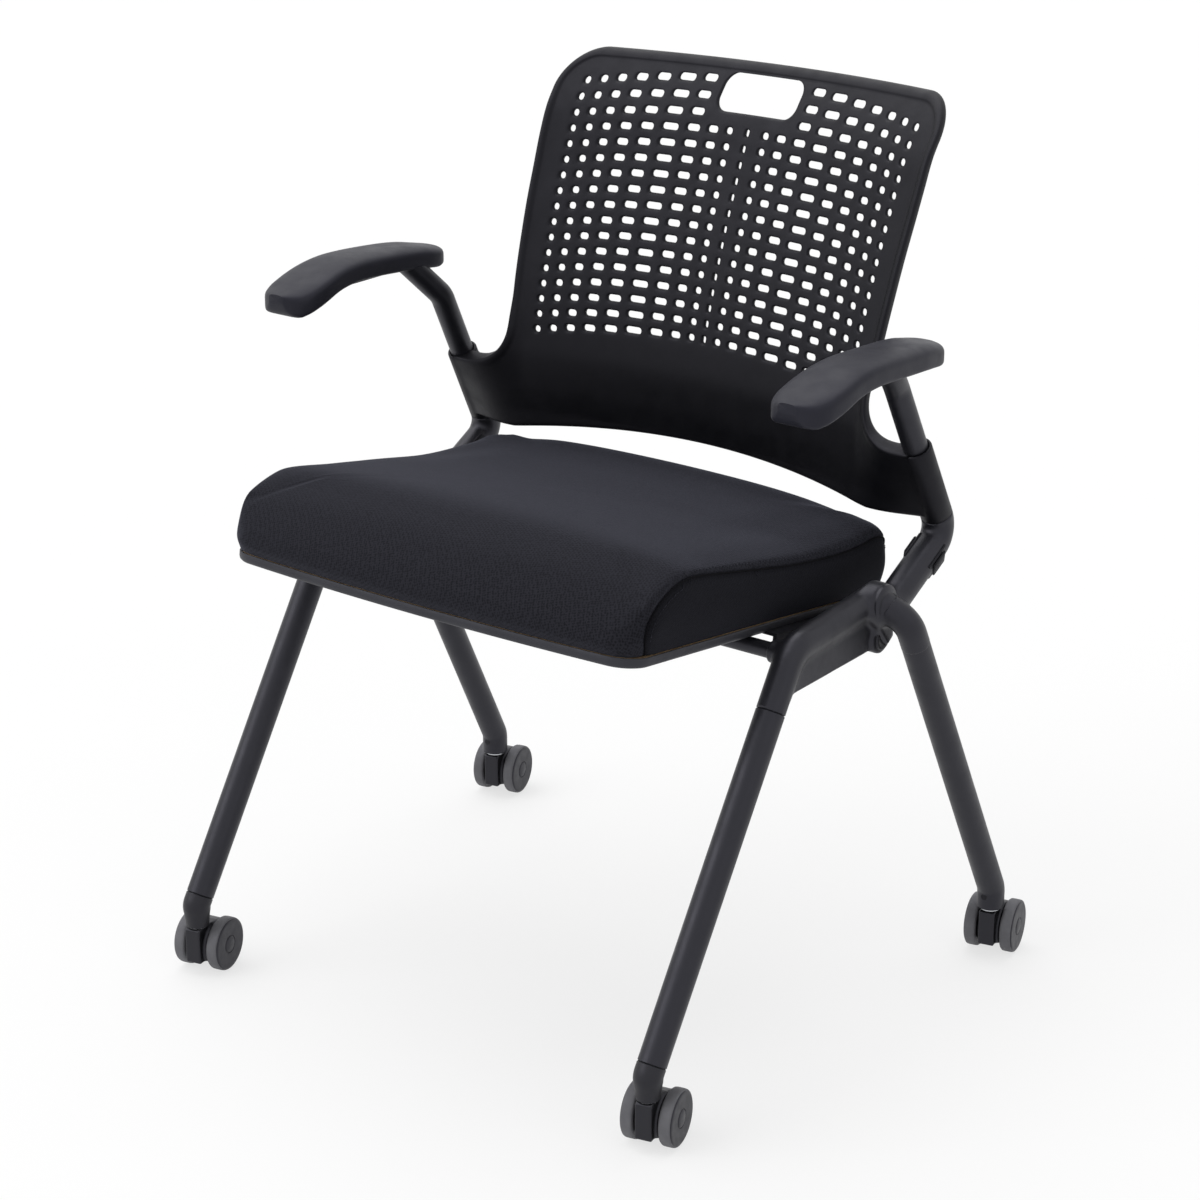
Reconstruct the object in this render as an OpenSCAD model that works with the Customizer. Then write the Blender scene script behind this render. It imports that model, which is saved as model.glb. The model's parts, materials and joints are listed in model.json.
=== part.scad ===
// Nesting chair: perforated plastic back, fixed arms, flip-up padded seat, four twin-wheel casters.
// The chair faces -Y, +Z is up, and the origin is on the floor under the middle of the chair.
// The sitter's left is +X.

/* [Frame tubes] */
// Outer diameter of the legs
tube_d = 25.4; // [24:0.1:27]
// Outer diameter of the uprights
upright_d = 22.2; // [20:0.1:23]
// Wall thickness of the legs and uprights
tube_wall = 1.6; // [1.2:0.1:2.5]
// Centre-line radius of the bends at the front of the rail and under the arm
bend_r = 30; // [24:1:34]
// Centre-line radius of the upright's lower bend
low_bend_r = 20; // [17:1:22]
// Centre-line radius of the bend at the rear end of the rail
peak_bend_r = 16; // [15:0.5:20]
// Centre-line radius of the bend at the top of a rear leg
rear_bend_r = 24; // [18:1:26]
// Centre-line radius of the bend at the foot of a rear leg
foot_bend_r = 20; // [14:1:24]
// Outer diameter of the front cross tube
front_cross_d = 14; // [12:0.5:16]
// Outer diameter of the rear cross tube, on which the seat turns
rear_cross_d = 19; // [17:0.5:22]
// Wall thickness of the cross tubes
cross_wall = 1.5; // [1:0.1:2.5]

/* [Frame layout] */
// Distance from the middle to the front leg and the upright
leg_x = 258.5; // [250:0.5:275]
// How far the foot of a rear leg lies outside the upright
rear_foot_flare = 39.9; // [36:0.1:48]
// How far the top bend of a rear leg lies outside the upright
rear_top_flare = 35; // [34:0.5:42]
// Distance of the front caster stems in front of the middle
front_stem_reach = 261; // [245:1:275]
// Distance of the rear caster stems behind the middle
rear_stem_reach = 216; // [200:1:230]
// Height of the tube ends above the floor
leg_end_z = 50; // [49:0.5:60]
// Height of the corner where a front leg meets its vertical foot
front_foot_z = 69; // [66:0.5:74]
// Height of the corner where a rear leg meets its vertical foot
rear_foot_z = 69; // [68:0.5:76]
// Distance of the rail's front corner in front of the middle
rail_front_reach = 66; // [60:1:71]
// Height of the rail's front corner
rail_front_z = 382; // [378:1:386]
// Distance of the rail's rear end behind the middle
rail_rear_reach = 53; // [50:1:57]
// Height of the rail's rear end
rail_rear_z = 392; // [389:1:396]
// Distance of the rear leg's top bend behind the middle
rear_top_reach = 61; // [55:1:67]
// Height of the rear leg's top bend
rear_top_z = 376; // [370:1:380]
// Distance of the front cross tube in front of the middle
front_cross_reach = 65; // [62:1:71]
// Height of the front cross tube's axis
front_cross_z = 376.5; // [374:0.5:378]

/* [Uprights and arms] */
// How far the upright's lower end lies behind the rail's rear end
upright_foot_back = 32; // [30:1:34]
// Height of the upright's lower end
upright_foot_z = 377.5; // [376:0.5:380]
// Distance of the upright's lower bend behind the middle
upright_bend_reach = 167.5; // [163:0.5:173]
// Height of the upright's lower bend
upright_bend_z = 423; // [418:1:428]
// Distance of the upright's arm bend behind the middle
arm_bend_reach = 92; // [87:1:97]
// Height of the upright's arm bend
arm_bend_z = 571; // [565:1:575]
// How far the arm bend leans in towards the middle
arm_bend_lean = 5; // [0:0.5:8]
// How far the upright's top end lies outside its foot
arm_end_flare = 4.3; // [0:0.1:6]
// Distance of the upright's top end behind the middle
arm_end_reach = 58.3; // [53:0.1:69]
// Height of the underside of the arm plate
arm_plate_z = 604.7; // [600:0.1:608]
// Length of the arm pad
arm_pad_l = 212.8; // [208:0.1:225]
// Width of the arm pad
arm_pad_w = 57.7; // [54:0.1:66]
// Thickness of the arm pad
arm_pad_t = 21.3; // [20.5:0.1:26]
// How far the front of the arm pad droops
arm_pad_droop = 25; // [10:1:30]
// How much lower the arm pad lies at its rear end than at its front
arm_pad_fall = 5.7; // [0:0.1:8]
// Distance of the rear end of the arm pad behind the middle
arm_pad_rear_reach = 101.6; // [99:0.1:107]
// How far the arm pad's middle lies outside the upright
arm_pad_offset = 22.2; // [16:0.1:26]
// How far the rear end of the arm pad lies in from its middle
arm_pad_splay = 6.4; // [0:0.1:8]

/* [Back shell] */
// Height of the bottom edge at the middle of the shell
shell_bottom_z = 459; // [455:1:464]
// How far the bottom edge of the shell droops from its middle to its ends
shell_sag = 12; // [6:1:16]
// Height of the shell, from its bottom edge to its top edge
shell_h = 331.5; // [325:0.5:340]
// Distance from the shell's side, at its widest, to the middle of the upright's foot
shell_side_gap = 47.5; // [43:0.5:52]
// Wall thickness of the shell
shell_t = 4.5; // [3.5:0.1:6]
// Thickness of the shell's rim
rim_t = 8; // [7:0.5:10]
// Width of the shell's rim
rim_w = 7; // [5:0.5:9]
// Radius of the shell in plan, round a vertical axis in front of it
shell_plan_r = 655; // [600:5:720]
// Distance behind the middle of the shell's most forward point
shell_front_reach = 157; // [153:1:163]
// How far the top of the shell leans back from its most forward point
shell_lean = 113; // [100:1:120]
// Radius of the shell's top corners
shell_corner_r = 34; // [24:1:38]
// Rows of slots
slot_rows = 17; // [14:1:17]
// Distance from the middle of the top row of slots to the shell's top edge
slot_top_margin = 14.6; // [12:0.1:18]
// Height of a slot
slot_h = 6.2; // [5.5:0.1:8]
// Distance from the end slots to the shell's side
slot_margin = 27.8; // [24:0.1:34]
// Web between two slots in a row
slot_web = 8.6; // [7:0.1:9]
// Height of the lowest row of slots over the shell's bottom edge
slot_bottom_rise = 95; // [91:1:97]
// How far a row of slots droops from the middle to its end
slot_droop = 13; // [8:1:16]
// Web between the hand-hold and the slots beside it
handhold_web = 8.6; // [7:0.1:13]
// Height of the hand-hold
handhold_h = 32; // [28:1:36]

/* [Seat] */
// Backward tilt of the seat
seat_tilt = 7.2; // [5:0.1:9]
// Height of the seat's pivot, the axis of the rear cross tube
pivot_z = 356; // [354:0.5:357]
// Distance of the seat's pivot behind the middle
pivot_reach = 61; // [59:0.5:63]
// Height of the pan's underside above the pivot, square to the seat
pan_rise = 14.8; // [13:0.1:16]
// Distance from the cushion's side to the middle of the side bracket
seat_side_gap = 32.5; // [30:0.5:38]
// Length of the cushion in front of the pivot
cushion_front = 317; // [306:1:324]
// Length of the cushion behind the pivot
cushion_rear = 94; // [80:1:98]
// Height of the cushion at its front crest
cushion_h = 66; // [56:1:70]
// Height that the middle of the cushion stands over its seams
cushion_crown = 7.5; // [3:0.5:10]
// Depth of the pan's rim
pan_h = 6.8; // [6.6:0.1:9]
// Wall thickness of the pan
pan_t = 2.6; // [2:0.1:3]

/* [Casters] */
// Diameter of a caster wheel
wheel_d = 50; // [48:0.5:52]
// Width of a caster wheel
wheel_w = 11.5; // [10:0.5:12]
// Width of the caster housing between the wheels
housing_w = 22; // [20:0.5:24]
// Distance of the wheel axis behind the swivel axis
caster_trail = 17.5; // [16:0.5:20]
// Angle at which the casters stand
caster_turn = 13; // [-60:1:60]
// Diameter of the caster axle
axle_d = 6; // [5:0.5:7]
// Diameter of the caster stem
stem_d = 10; // [8:0.5:10]

/* [Hidden] */
$fn = 64;

// Overrun of a cut past the surface that it cuts
cut = 1;
// Clearance of a push fit, on the radius
fit = 0.05;
// Length by which a straight tube runs into the bend after it
lap = 0.5;
// How much thicker the wall of a bend is than a straight tube's, outside and inside
bend_swell = 0.15;
// Gap between a soft piece and its neighbour
soft_gap = 0.3;

powder_black = [0.07, 0.07, 0.08];
plastic_black = [0.09, 0.09, 0.10];
pad_grey = [0.20, 0.21, 0.23];
fabric_black = [0.10, 0.10, 0.11];
rubber_black = [0.05, 0.05, 0.05];
tread_grey = [0.42, 0.42, 0.43];
disc_grey = [0.25, 0.25, 0.26];
steel_bright = [0.75, 0.76, 0.78];

tube_r = tube_d / 2;
tube_bore_r = tube_r - tube_wall;
upright_r = upright_d / 2;
upright_bore_r = upright_r - tube_wall;
socket_l = 54;
spigot_l = 40;
adapter_lap = 9;

rear_foot_x = leg_x + rear_foot_flare;
rear_top_x = leg_x + rear_top_flare;
upright_foot_reach = rail_rear_reach + upright_foot_back;
cushion_w = 2 * (leg_x - seat_side_gap);
shell_w = 2 * (leg_x - shell_side_gap);
rail_front = [leg_x, -rail_front_reach, rail_front_z];
rail_rear = [leg_x, rail_rear_reach, rail_rear_z];
front_foot = [leg_x, -front_stem_reach, front_foot_z];
rear_foot = [rear_foot_x, rear_stem_reach, rear_foot_z];
rear_top = [rear_top_x, rear_top_reach, rear_top_z];
upright_foot = [leg_x, upright_foot_reach, upright_foot_z];
upright_bend = [leg_x, upright_bend_reach, upright_bend_z];
arm_bend = [leg_x - arm_bend_lean, arm_bend_reach, arm_bend_z];
arm_end = [leg_x + arm_end_flare, arm_end_reach, arm_plate_z];

leg_dir = unit(rail_front - front_foot);
leg_top = rail_front - leg_dir * socket_l;
leg_bottom = front_foot + leg_dir * adapter_lap;

// Vector helpers
function unit(v) = v / norm(v);
function mix(a, b, share) = a + (b - a) * share;

// Places its children with their +Z along dir, starting at point p
module aim(p, dir) {
    d = unit(dir);
    translate(p)
        rotate([0, acos(d.z), atan2(d.y, d.x)])
            children();
}

// Turn of a rod about its own axis, which keeps its lengthwise edge clear of the cuts across it
rod_turn = 37;

// Round rod from a to b
module rod(a, b, r) {
    aim(a, b - a)
        rotate([0, 0, rod_turn])
            cylinder(r = r, h = norm(b - a));
}

// Length of a bend, from its corner to where the straight tube starts
function bend_tangent(a, b, c, r) = r * tan(acos(unit(b - a) * unit(c - b)) / 2);

// Bend of centre-line radius r at corner b, between a and c, hollow where bore_r is over zero.
// Its wall is a little thicker than the straight tube's, which runs into it by one lap.
module elbow(a, b, c, r, rod_r, bore_r) {
    u = unit(b - a);
    v = unit(c - b);
    n = unit(cross(u, v));
    side = cross(n, u);
    centre = b - u * bend_tangent(a, b, c, r) + side * r;
    multmatrix([
        [-side.x, u.x, n.x, centre.x],
        [-side.y, u.y, n.y, centre.y],
        [-side.z, u.z, n.z, centre.z],
        [0, 0, 0, 1]
    ])
        rotate_extrude(angle = acos(u * v))
            translate([r, 0])
                difference() {
                    circle(r = rod_r + bend_swell);
                    if (bore_r > 0)
                        circle(r = bore_r - bend_swell);
                }
}

// Round bar or tube along points, with bends of the radii in the list bends at the inner points
module bar(points, bends, rod_r, bore_r = 0) {
    last = len(points) - 1;
    for (i = [0 : last - 1]) {
        d = unit(points[i + 1] - points[i]);
        from = i == 0 ? points[i]
            : points[i] + d * bend_tangent(points[i - 1], points[i], points[i + 1], bends[i - 1]);
        to = i == last - 1 ? points[i + 1]
            : points[i + 1] - d * bend_tangent(points[i], points[i + 1], points[i + 2], bends[i]);
        start = i == 0 ? from : from - d * lap;
        end = i == last - 1 ? to : to + d * lap;
        difference() {
            rod(start, end, rod_r);
            if (bore_r > 0)
                rod(start - d * cut, end + d * cut, bore_r);
        }
    }
    for (i = [1 : last - 1])
        elbow(points[i - 1], points[i], points[i + 1], bends[i - 1], rod_r, bore_r);
}

// Mirrored copy on the sitter's right
module right_side() {
    mirror([1, 0, 0])
        children();
}

// Left piece and its mirrored twin
module both_sides() {
    children();
    right_side()
        children();
}

// Side bracket, a casting that joins the front leg, rear leg and cross tubes. Its arm goes round the
// lower bend up to the back's sleeve and ends in a spigot inside the upright.
web_t = 12;
web_edge_rise = 10;
web_edge_lead = 1.3;
hub_r = 14;
hub_reach = 2;
hub_drop = 8;
boss_t = 13;
boss_r = 17;
flange_t = 4;
front_boss_r = 10;
front_boss_l = 20;
upright_dir = unit(upright_bend - upright_foot);
pivot_point = [leg_x, pivot_reach, pivot_z];
front_cross_point = [0, -front_cross_reach, front_cross_z];
arm_face_x = leg_x + boss_t;
hub_face_x = leg_x + web_t / 2 + hub_reach;

module x_rod(p, x0, x1, r) {
    translate([x0, p.y, p.z])
        rotate([0, 90, 0])
            cylinder(r = r, h = x1 - x0);
}

module bracket_web() {
    edge = leg_top + leg_dir * web_edge_rise + [0, web_edge_lead * tube_r, 0];
    translate([leg_x - web_t / 2, 0, 0])
        rotate([90, 0, 90])
            linear_extrude(web_t)
                polygon([
                    [leg_top.y, leg_top.z] + [leg_dir.y, leg_dir.z] * web_edge_rise,
                    [rail_front.y, rail_front.z], [rail_rear.y, rail_rear.z],
                    [upright_foot.y, upright_foot.z],
                    [pivot_reach, pivot_z - hub_drop], [edge.y, edge.z]
                ]);
}

module side_bracket() {
    color(powder_black)
        difference() {
            union() {
                bar([leg_top, rail_front, rail_rear, upright_foot], [bend_r, peak_bend_r], tube_r);
                rod(leg_top - leg_dir * spigot_l, leg_top + leg_dir, tube_bore_r - fit);
                bracket_web();
                x_rod(pivot_point, seat_end_x + soft_gap, hub_face_x, hub_r);
                bar([upright_foot, upright_bend, sleeve_low], [low_bend_r], sleeve_r);
                translate(upright_foot)
                    sphere(r = sleeve_r - fit);
                rod(sleeve_low - upper_dir, sleeve_low + upper_dir * spigot_l, upright_bore_r - fit);
                x_rod(rail_rear, leg_x, arm_face_x, boss_r);
                x_rod(front_cross_point, leg_x - front_boss_l, leg_x, front_boss_r);
            }
            x_rod(pivot_point, leg_x - 2 * boss_t, leg_x + 2 * boss_t, rear_cross_d / 2 + fit);
            x_rod(front_cross_point, leg_x - 2 * front_boss_l, leg_x - front_boss_l / 2,
                front_cross_d / 2 + fit);
            back_screw_holes();
        }
}

// Front leg, a straight tube between the bracket and the caster adapter
module front_leg() {
    color(powder_black)
        difference() {
            rod(leg_bottom, leg_top, tube_r);
            rod(leg_bottom - leg_dir * cut, leg_top + leg_dir * cut, tube_bore_r);
        }
}

// Rear leg, a tube bent inwards at the top to the bracket, with a welded flange
plug_r = 3;
plug_z_share = 0.81;
arm_dir = unit([arm_face_x, rail_rear_reach, rail_rear_z] - rear_top);
rear_leg_path = [
    [rear_foot_x, rear_stem_reach, leg_end_z], rear_foot, rear_top,
    [arm_face_x, rail_rear_reach, rail_rear_z] + arm_dir * tube_r
];
rear_plug_points = [
    mix(rear_foot, rear_top, plug_z_share),
    [rear_foot_x, rear_stem_reach, rear_foot_z - 2 * plug_r]
];

module rear_leg() {
    color(powder_black)
        difference() {
            union() {
                bar(rear_leg_path, [foot_bend_r, rear_bend_r], tube_r, tube_bore_r);
                x_rod(rail_rear, arm_face_x, arm_face_x + flange_t, boss_r);
            }
            translate([0, 0, rear_top_z])
                cube([2 * arm_face_x, 2 * rear_stem_reach, tube_d * 4], center = true);
            for (p = rear_plug_points)
                translate(p)
                    rotate([90, 0, 0])
                        cylinder(r = plug_r, h = tube_d);
        }
}

// Plastic adapter between a front leg and its caster, leaning at the leg and upright at the stem
adapter_foot_r = 10.6;
stem_grip_l = 14;
stem_r = stem_d / 2;
front_stem = [leg_x, -front_stem_reach, leg_end_z];
rear_stem = [rear_foot_x, rear_stem_reach, leg_end_z];

module leg_adapter() {
    color(plastic_black)
        difference() {
            union() {
                rod(front_foot - leg_dir * tube_wall, leg_bottom, tube_r);
                translate(front_foot)
                    sphere(r = tube_r - fit);
                translate(front_stem)
                    cylinder(r1 = adapter_foot_r, r2 = tube_r - fit, h = front_foot_z - leg_end_z);
                rod(leg_bottom, leg_bottom + leg_dir * spigot_l, tube_bore_r - fit);
            }
            translate(front_stem - [0, 0, cut])
                cylinder(r = stem_r + fit, h = stem_grip_l + cut);
        }
}

// Plastic sockets pressed into the rear tube ends, which grip the caster stems
module rear_leg_sockets() {
    color(plastic_black)
        both_sides()
            translate(rear_stem)
                difference() {
                    cylinder(r = tube_bore_r - fit, h = stem_grip_l);
                    translate([0, 0, -cut])
                        cylinder(r = stem_r + fit, h = stem_grip_l + 2 * cut);
                }
}

// Small plugs in the vent holes on the front of the rear legs
module rear_leg_plugs() {
    color(rubber_black)
        both_sides()
            for (p = rear_plug_points)
                translate(p - [0, tube_bore_r, 0])
                    rotate([90, 0, 0])
                        cylinder(r = plug_r - fit, h = tube_wall + fit);
}

// Front cross tube, which the seat rests on
module front_cross_tube() {
    half_l = leg_x - front_boss_l / 2;
    color(powder_black)
        difference() {
            x_rod(front_cross_point, -half_l, half_l, front_cross_d / 2);
            x_rod(front_cross_point, -leg_x, leg_x, front_cross_d / 2 - cross_wall);
        }
}

// Rear cross tube, which ties the brackets together and carries the seat
module rear_cross_tube() {
    color(powder_black)
        difference() {
            x_rod(pivot_point, -hub_face_x, hub_face_x, rear_cross_d / 2);
            x_rod(pivot_point, -2 * leg_x, 2 * leg_x, rear_cross_d / 2 - cross_wall);
        }
}

// End caps of the rear cross tube
cap_t = 2.5;
cap_edge = 1;
cap_plug_l = 12;

module cross_tube_caps() {
    color(plastic_black)
        both_sides() {
            x_rod(pivot_point, hub_face_x, hub_face_x + cap_t, rear_cross_d / 2 + cap_edge);
            x_rod(pivot_point, hub_face_x - cap_plug_l, hub_face_x, rear_cross_d / 2 - cross_wall - fit);
        }
}

// Upright, one tube from the bracket's arm through the back's sleeve to the arm plate
arm_over_share = 0.6;

module above(z) {
    translate([0, 0, z])
        linear_extrude(tube_d * 2)
            square(4 * leg_x, center = true);
}

module upright() {
    color(powder_black)
        difference() {
            bar([sleeve_low, arm_bend, mix(arm_bend, arm_end, 1 + arm_over_share)],
                [bend_r], upright_r, upright_bore_r);
            above(arm_plate_z);
            back_screw_holes();
        }
}

// Back shell
shell_axis_y = shell_front_reach - shell_plan_r;
// Share of the lean at each share of the shell's height, from the bottom edge up
lean_shares = [
    [0, 0.035], [0.08, 0.008], [0.16, 0], [0.24, 0.027], [0.33, 0.088], [0.42, 0.165],
    [0.51, 0.252], [0.6, 0.345], [0.69, 0.45], [0.78, 0.555], [0.85, 0.645], [0.9, 0.745],
    [0.95, 0.865], [1, 1]
];
// Share of the shell's width at each share of its height
width_shares = [[0, 0.944], [0.26, 0.953], [0.4, 0.967], [0.65, 0.988], [0.82, 0.999], [1, 1]];
// Width of each slot as a share of the widest, from the middle column out
slot_shares = [0.22, 0.42, 0.64, 0.82, 1, 0.82, 0.71, 0.55, 0.44, 0.35];
mid_web_share = 1.69;
slot_lean_share = 0.03;
slot_chamfer_share = 0.29;
free_rows = 3;
free_columns = 3;
handhold_rows_down = 1.77;
outer_column = len(slot_shares) - 1;
slot_bottom_z = shell_bottom_z + slot_bottom_rise;
slot_pitch = (shell_bottom_z + shell_h - slot_top_margin - slot_bottom_z) / (slot_rows - 1);
slot_share_sum = slot_shares * [for (k = [0 : outer_column]) k == 0 ? 0.5 : 1];
slot_w = (shell_w / 2 - slot_margin - slot_web * (outer_column - 1 + mid_web_share)) / slot_share_sum;
edge_steps = 6;
corner_steps = 8;
// How far the wall's blank runs past the shell's outline before it is trimmed
trim = 20;
trim_angle = 2;

function shell_y(z) = shell_front_reach + shell_lean * lookup((z - shell_bottom_z) / shell_h, lean_shares);
function shell_half_w(z) = shell_w / 2 * lookup((z - shell_bottom_z) / shell_h, width_shares);
function arc_points(c, r, a0, a1, n) =
    [for (i = [0 : n]) let(a = mix(a0, a1, i / n)) c + r * [cos(a), sin(a)]];

// Solid of revolution between t0 and t1 behind the shell's front face
module shell_wall(t0, t1) {
    steps = len(lean_shares) - 1;
    swing = asin(shell_w / 2 / (shell_plan_r + shell_lean)) + trim_angle;
    front = [for (p = lean_shares) [
        shell_y(shell_bottom_z + p[0] * shell_h) - shell_axis_y,
        shell_bottom_z + p[0] * shell_h
    ]];
    low = [front[0].x + shell_t / 2, shell_bottom_z - trim];
    face = concat([low], front, [front[steps] + [shell_t, shell_t]]);
    translate([0, shell_axis_y, 0])
        rotate([0, 0, 90 - swing])
            rotate_extrude(angle = 2 * swing, $fn = 180)
                polygon(concat(
                    [for (p = face) p + [t0, 0]],
                    [for (i = [len(face) - 1 : -1 : 0]) face[i] + [t1, 0]]
                ));
}

// Right half of the shell's outline seen from the front, drawn in by inset
function outline_half(inset) =
    let(
        top = shell_bottom_z + shell_h - inset,
        r = shell_corner_r - inset,
        w = shell_w / 2 - inset
    )
    concat(
        [for (i = [0 : edge_steps]) [(shell_half_w(shell_bottom_z) - inset) * i / edge_steps,
            shell_bottom_z + inset - shell_sag * pow(i / edge_steps, 2)]],
        [for (i = [1 : 4]) [shell_w / 2 * width_shares[i][1] - inset,
            shell_bottom_z + width_shares[i][0] * shell_h]],
        arc_points([w - r, top - r], r, 0, 90, corner_steps)
    );

module shell_outline(inset) {
    half = outline_half(inset);
    polygon(concat(half, [for (i = [len(half) - 1 : -1 : 0]) [-half[i].x, half[i].y]]));
}

// Middle of the slot in column k and the given row, counted from the lowest
function column_x(k) = k == 0 ? 0
    : column_x(k - 1) + slot_w * (slot_shares[k - 1] + slot_shares[k]) / 2
        + slot_web * (k == 1 ? mid_web_share : 1);
function slot_x(k, row) = column_x(k) - (k == 0 ? 0 : slot_pitch * slot_lean_share * (slot_rows - 4 - row));
function slot_z(k, row) =
    slot_bottom_z + row * slot_pitch - slot_droop * pow(column_x(k) / column_x(outer_column), 2);

module slot(w) {
    c = min(w, slot_h) * slot_chamfer_share;
    x = w / 2;
    z = slot_h / 2;
    polygon([
        [-x, c - z], [c - x, -z], [x - c, -z], [x, c - z],
        [x, z - c], [x - c, z], [c - x, z], [-x, z - c]
    ]);
}

module slots() {
    for (row = [0 : slot_rows - 1])
        for (k = [0 : outer_column])
            if (row < slot_rows - free_rows || k >= free_columns)
                for (s = k == 0 ? [1] : [-1, 1])
                    translate([s * slot_x(k, row), slot_z(k, row)])
                        slot(slot_w * slot_shares[k]);
}

module handhold() {
    r = handhold_h / 3;
    w = column_x(free_columns) - slot_w * slot_shares[free_columns] / 2 - handhold_web - r;
    h = handhold_h / 2 - r;
    translate([0, slot_bottom_z + (slot_rows - handhold_rows_down) * slot_pitch])
        polygon(concat(
            arc_points([w, h], r, 0, 90, corner_steps), arc_points([-w, h], r, 90, 180, corner_steps),
            arc_points([-w, -h], r, 180, 270, corner_steps), arc_points([w, -h], r, 270, 360, corner_steps)
        ));
}

// Carries a drawing of the front view back to the shell
module from_front() {
    translate([0, shell_axis_y + shell_plan_r * 2, 0])
        rotate([90, 0, 0])
            linear_extrude(shell_plan_r * 1.2)
                children();
}

// Height over the floor and place of the sleeve's ends, along the upright
upper_dir = unit(arm_bend - upright_bend);
sleeve_wall = 3.15;
sleeve_low_share = 0.125;
sleeve_high_share = 0.57;
sleeve_low = mix(upright_bend, arm_bend, sleeve_low_share);
sleeve_high = mix(upright_bend, arm_bend, sleeve_high_share);
sleeve_r = upright_r + fit + sleeve_wall;
back_screw_r = 2.2;
back_screw_shares = [0.2, 0.8];
back_screw_head_r = 4.5;
back_screw_head_t = 2.4;
back_dir = unit(cross(upper_dir, [1, 0, 0]));

function surface_y(x, z) = shell_axis_y + sqrt(pow(shell_y(z) - shell_axis_y, 2) - x * x);
function surface_point(x, z) = [x, surface_y(x, z) + shell_t / 2, z];

// Web between the shell's side edge and the sleeve. Its top edge sweeps down in a curve, and a ledge
// runs back from that edge, as deep as the rim at the shell and nearly as deep as the sleeve beside it.
wing_steps = 10;
wing_top_share = 0.255;
wing_fall = 4;
wing_seat_shares = [-0.68, -0.5, 0];
ledge_depth_share = 1.4;
ledge_growth = 0.8;
ledge_lip_share = 0.14;
wall_half = [0, shell_t / 2, 0];

function wing_x() = shell_half_w(shell_bottom_z) - rim_w;
function wing_low(t) = mix(surface_point(wing_x(), shell_bottom_z - shell_sag + shell_t / 2),
    sleeve_low + wing_seat_shares * sleeve_r, t);
function wing_top(t) =
    let(
        low = wing_low(t),
        crest = surface_point(wing_x(), shell_bottom_z + shell_h * wing_top_share),
        high = mix(crest, sleeve_high + wing_seat_shares * sleeve_r, t),
        z = sleeve_high.z - shell_t + (crest.z - sleeve_high.z) * pow(1 - t, wing_fall)
    )
    mix(low, high, (z - low.z) / (high.z - low.z));
// Step of one wall thickness from the top edge into the web, square to the edge
function wing_inward(t) =
    let(d = wing_top(min(1, t + 0.02)) - wing_top(max(0, t - 0.02)))
    unit([d.z, 0, -d.x]) * shell_t;
function wing_ring(t) =
    let(low = wing_low(t), top = wing_top(t) + wing_inward(t) / 2)
    [low - wall_half, low + wall_half, top + wall_half, top - wall_half];
function ledge_ring(t) =
    let(
        front = wing_top(t) - wall_half * (1 + ledge_lip_share),
        depth = [0, mix(rim_t - shell_t / 4, ledge_depth_share * sleeve_r, pow(t, ledge_growth)), 0],
        inward = wing_inward(t)
    )
    [front + inward, front + inward + depth, front + depth, front];

module wing() {
    skin([for (i = [0 : wing_steps]) wing_ring(i / wing_steps)]);
    skin([for (i = [0 : wing_steps]) ledge_ring(i / wing_steps)]);
}

module back_screw_places() {
    for (share = back_screw_shares)
        aim(mix(sleeve_low, sleeve_high, share) + back_dir * sleeve_r, back_dir)
            children();
}

module back_screw_holes() {
    back_screw_places()
        translate([0, 0, -sleeve_r])
            cylinder(r = back_screw_r + fit, h = 2 * sleeve_r);
}

module back_shell() {
    color(plastic_black)
        difference() {
            union() {
                difference() {
                    intersection() {
                        shell_wall(0, rim_t);
                        from_front()
                            difference() {
                                shell_outline(0);
                                slots();
                                handhold();
                            }
                    }
                    intersection() {
                        shell_wall(shell_t, rim_t + shell_t);
                        from_front()
                            shell_outline(rim_w);
                    }
                }
                both_sides() {
                    wing();
                    rod(sleeve_low, sleeve_high, sleeve_r);
                }
            }
            both_sides() {
                rod(sleeve_low - upper_dir * tube_r, sleeve_high + upper_dir * tube_r, upright_r + fit);
                back_screw_holes();
            }
        }
}

// Screws that hold the back's sleeves to the uprights
module back_screws() {
    color(steel_bright)
        both_sides()
            back_screw_places() {
                cylinder(r = back_screw_head_r, h = back_screw_head_t);
                translate([0, 0, -sleeve_wall - 2 * tube_wall])
                    cylinder(r = back_screw_r, h = sleeve_wall + 2 * tube_wall + cut);
            }
}

// Rubber bumpers on the bracket's arm, which keep nested chairs apart
bumper_t = 3;
bumper_l = 30;
bumper_angle = 80;
bumper_place_share = 0.6;

module upright_bumpers() {
    mid = mix(upright_foot, upright_bend, bumper_place_share);
    color(rubber_black)
        both_sides()
            aim(mid, upright_dir)
                for (a = [bumper_angle / 4, 180 + bumper_angle / 4])
                    rotate([0, 0, a - bumper_angle / 2 + 90])
                        translate([0, 0, -bumper_l / 2])
                            rotate_extrude(angle = bumper_angle)
                                translate([sleeve_r, 0])
                                    square([bumper_t, bumper_l]);
}

// Arm plate, welded across the upright's cut end and sunk in the pad's underside
arm_plate_t = 3;
arm_plate_l = 130;
arm_plate_w = 34;
arm_plate_inset = 12;
arm_plate_offset = 6;
pad_x = leg_x + arm_pad_offset;
plate_x = pad_x - arm_plate_offset;
plate_rear = arm_pad_rear_reach - arm_plate_inset;
pad_screw_r = 2.5;
pad_screw_head_r = 4.5;
pad_screw_head_t = 2.5;
pad_screw_l = 8;
pad_screw_shares = [0.07, 0.88];

module pad_screw_places() {
    for (share = pad_screw_shares)
        translate([plate_x, plate_rear - share * arm_plate_l, arm_plate_z])
            children();
}

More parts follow.
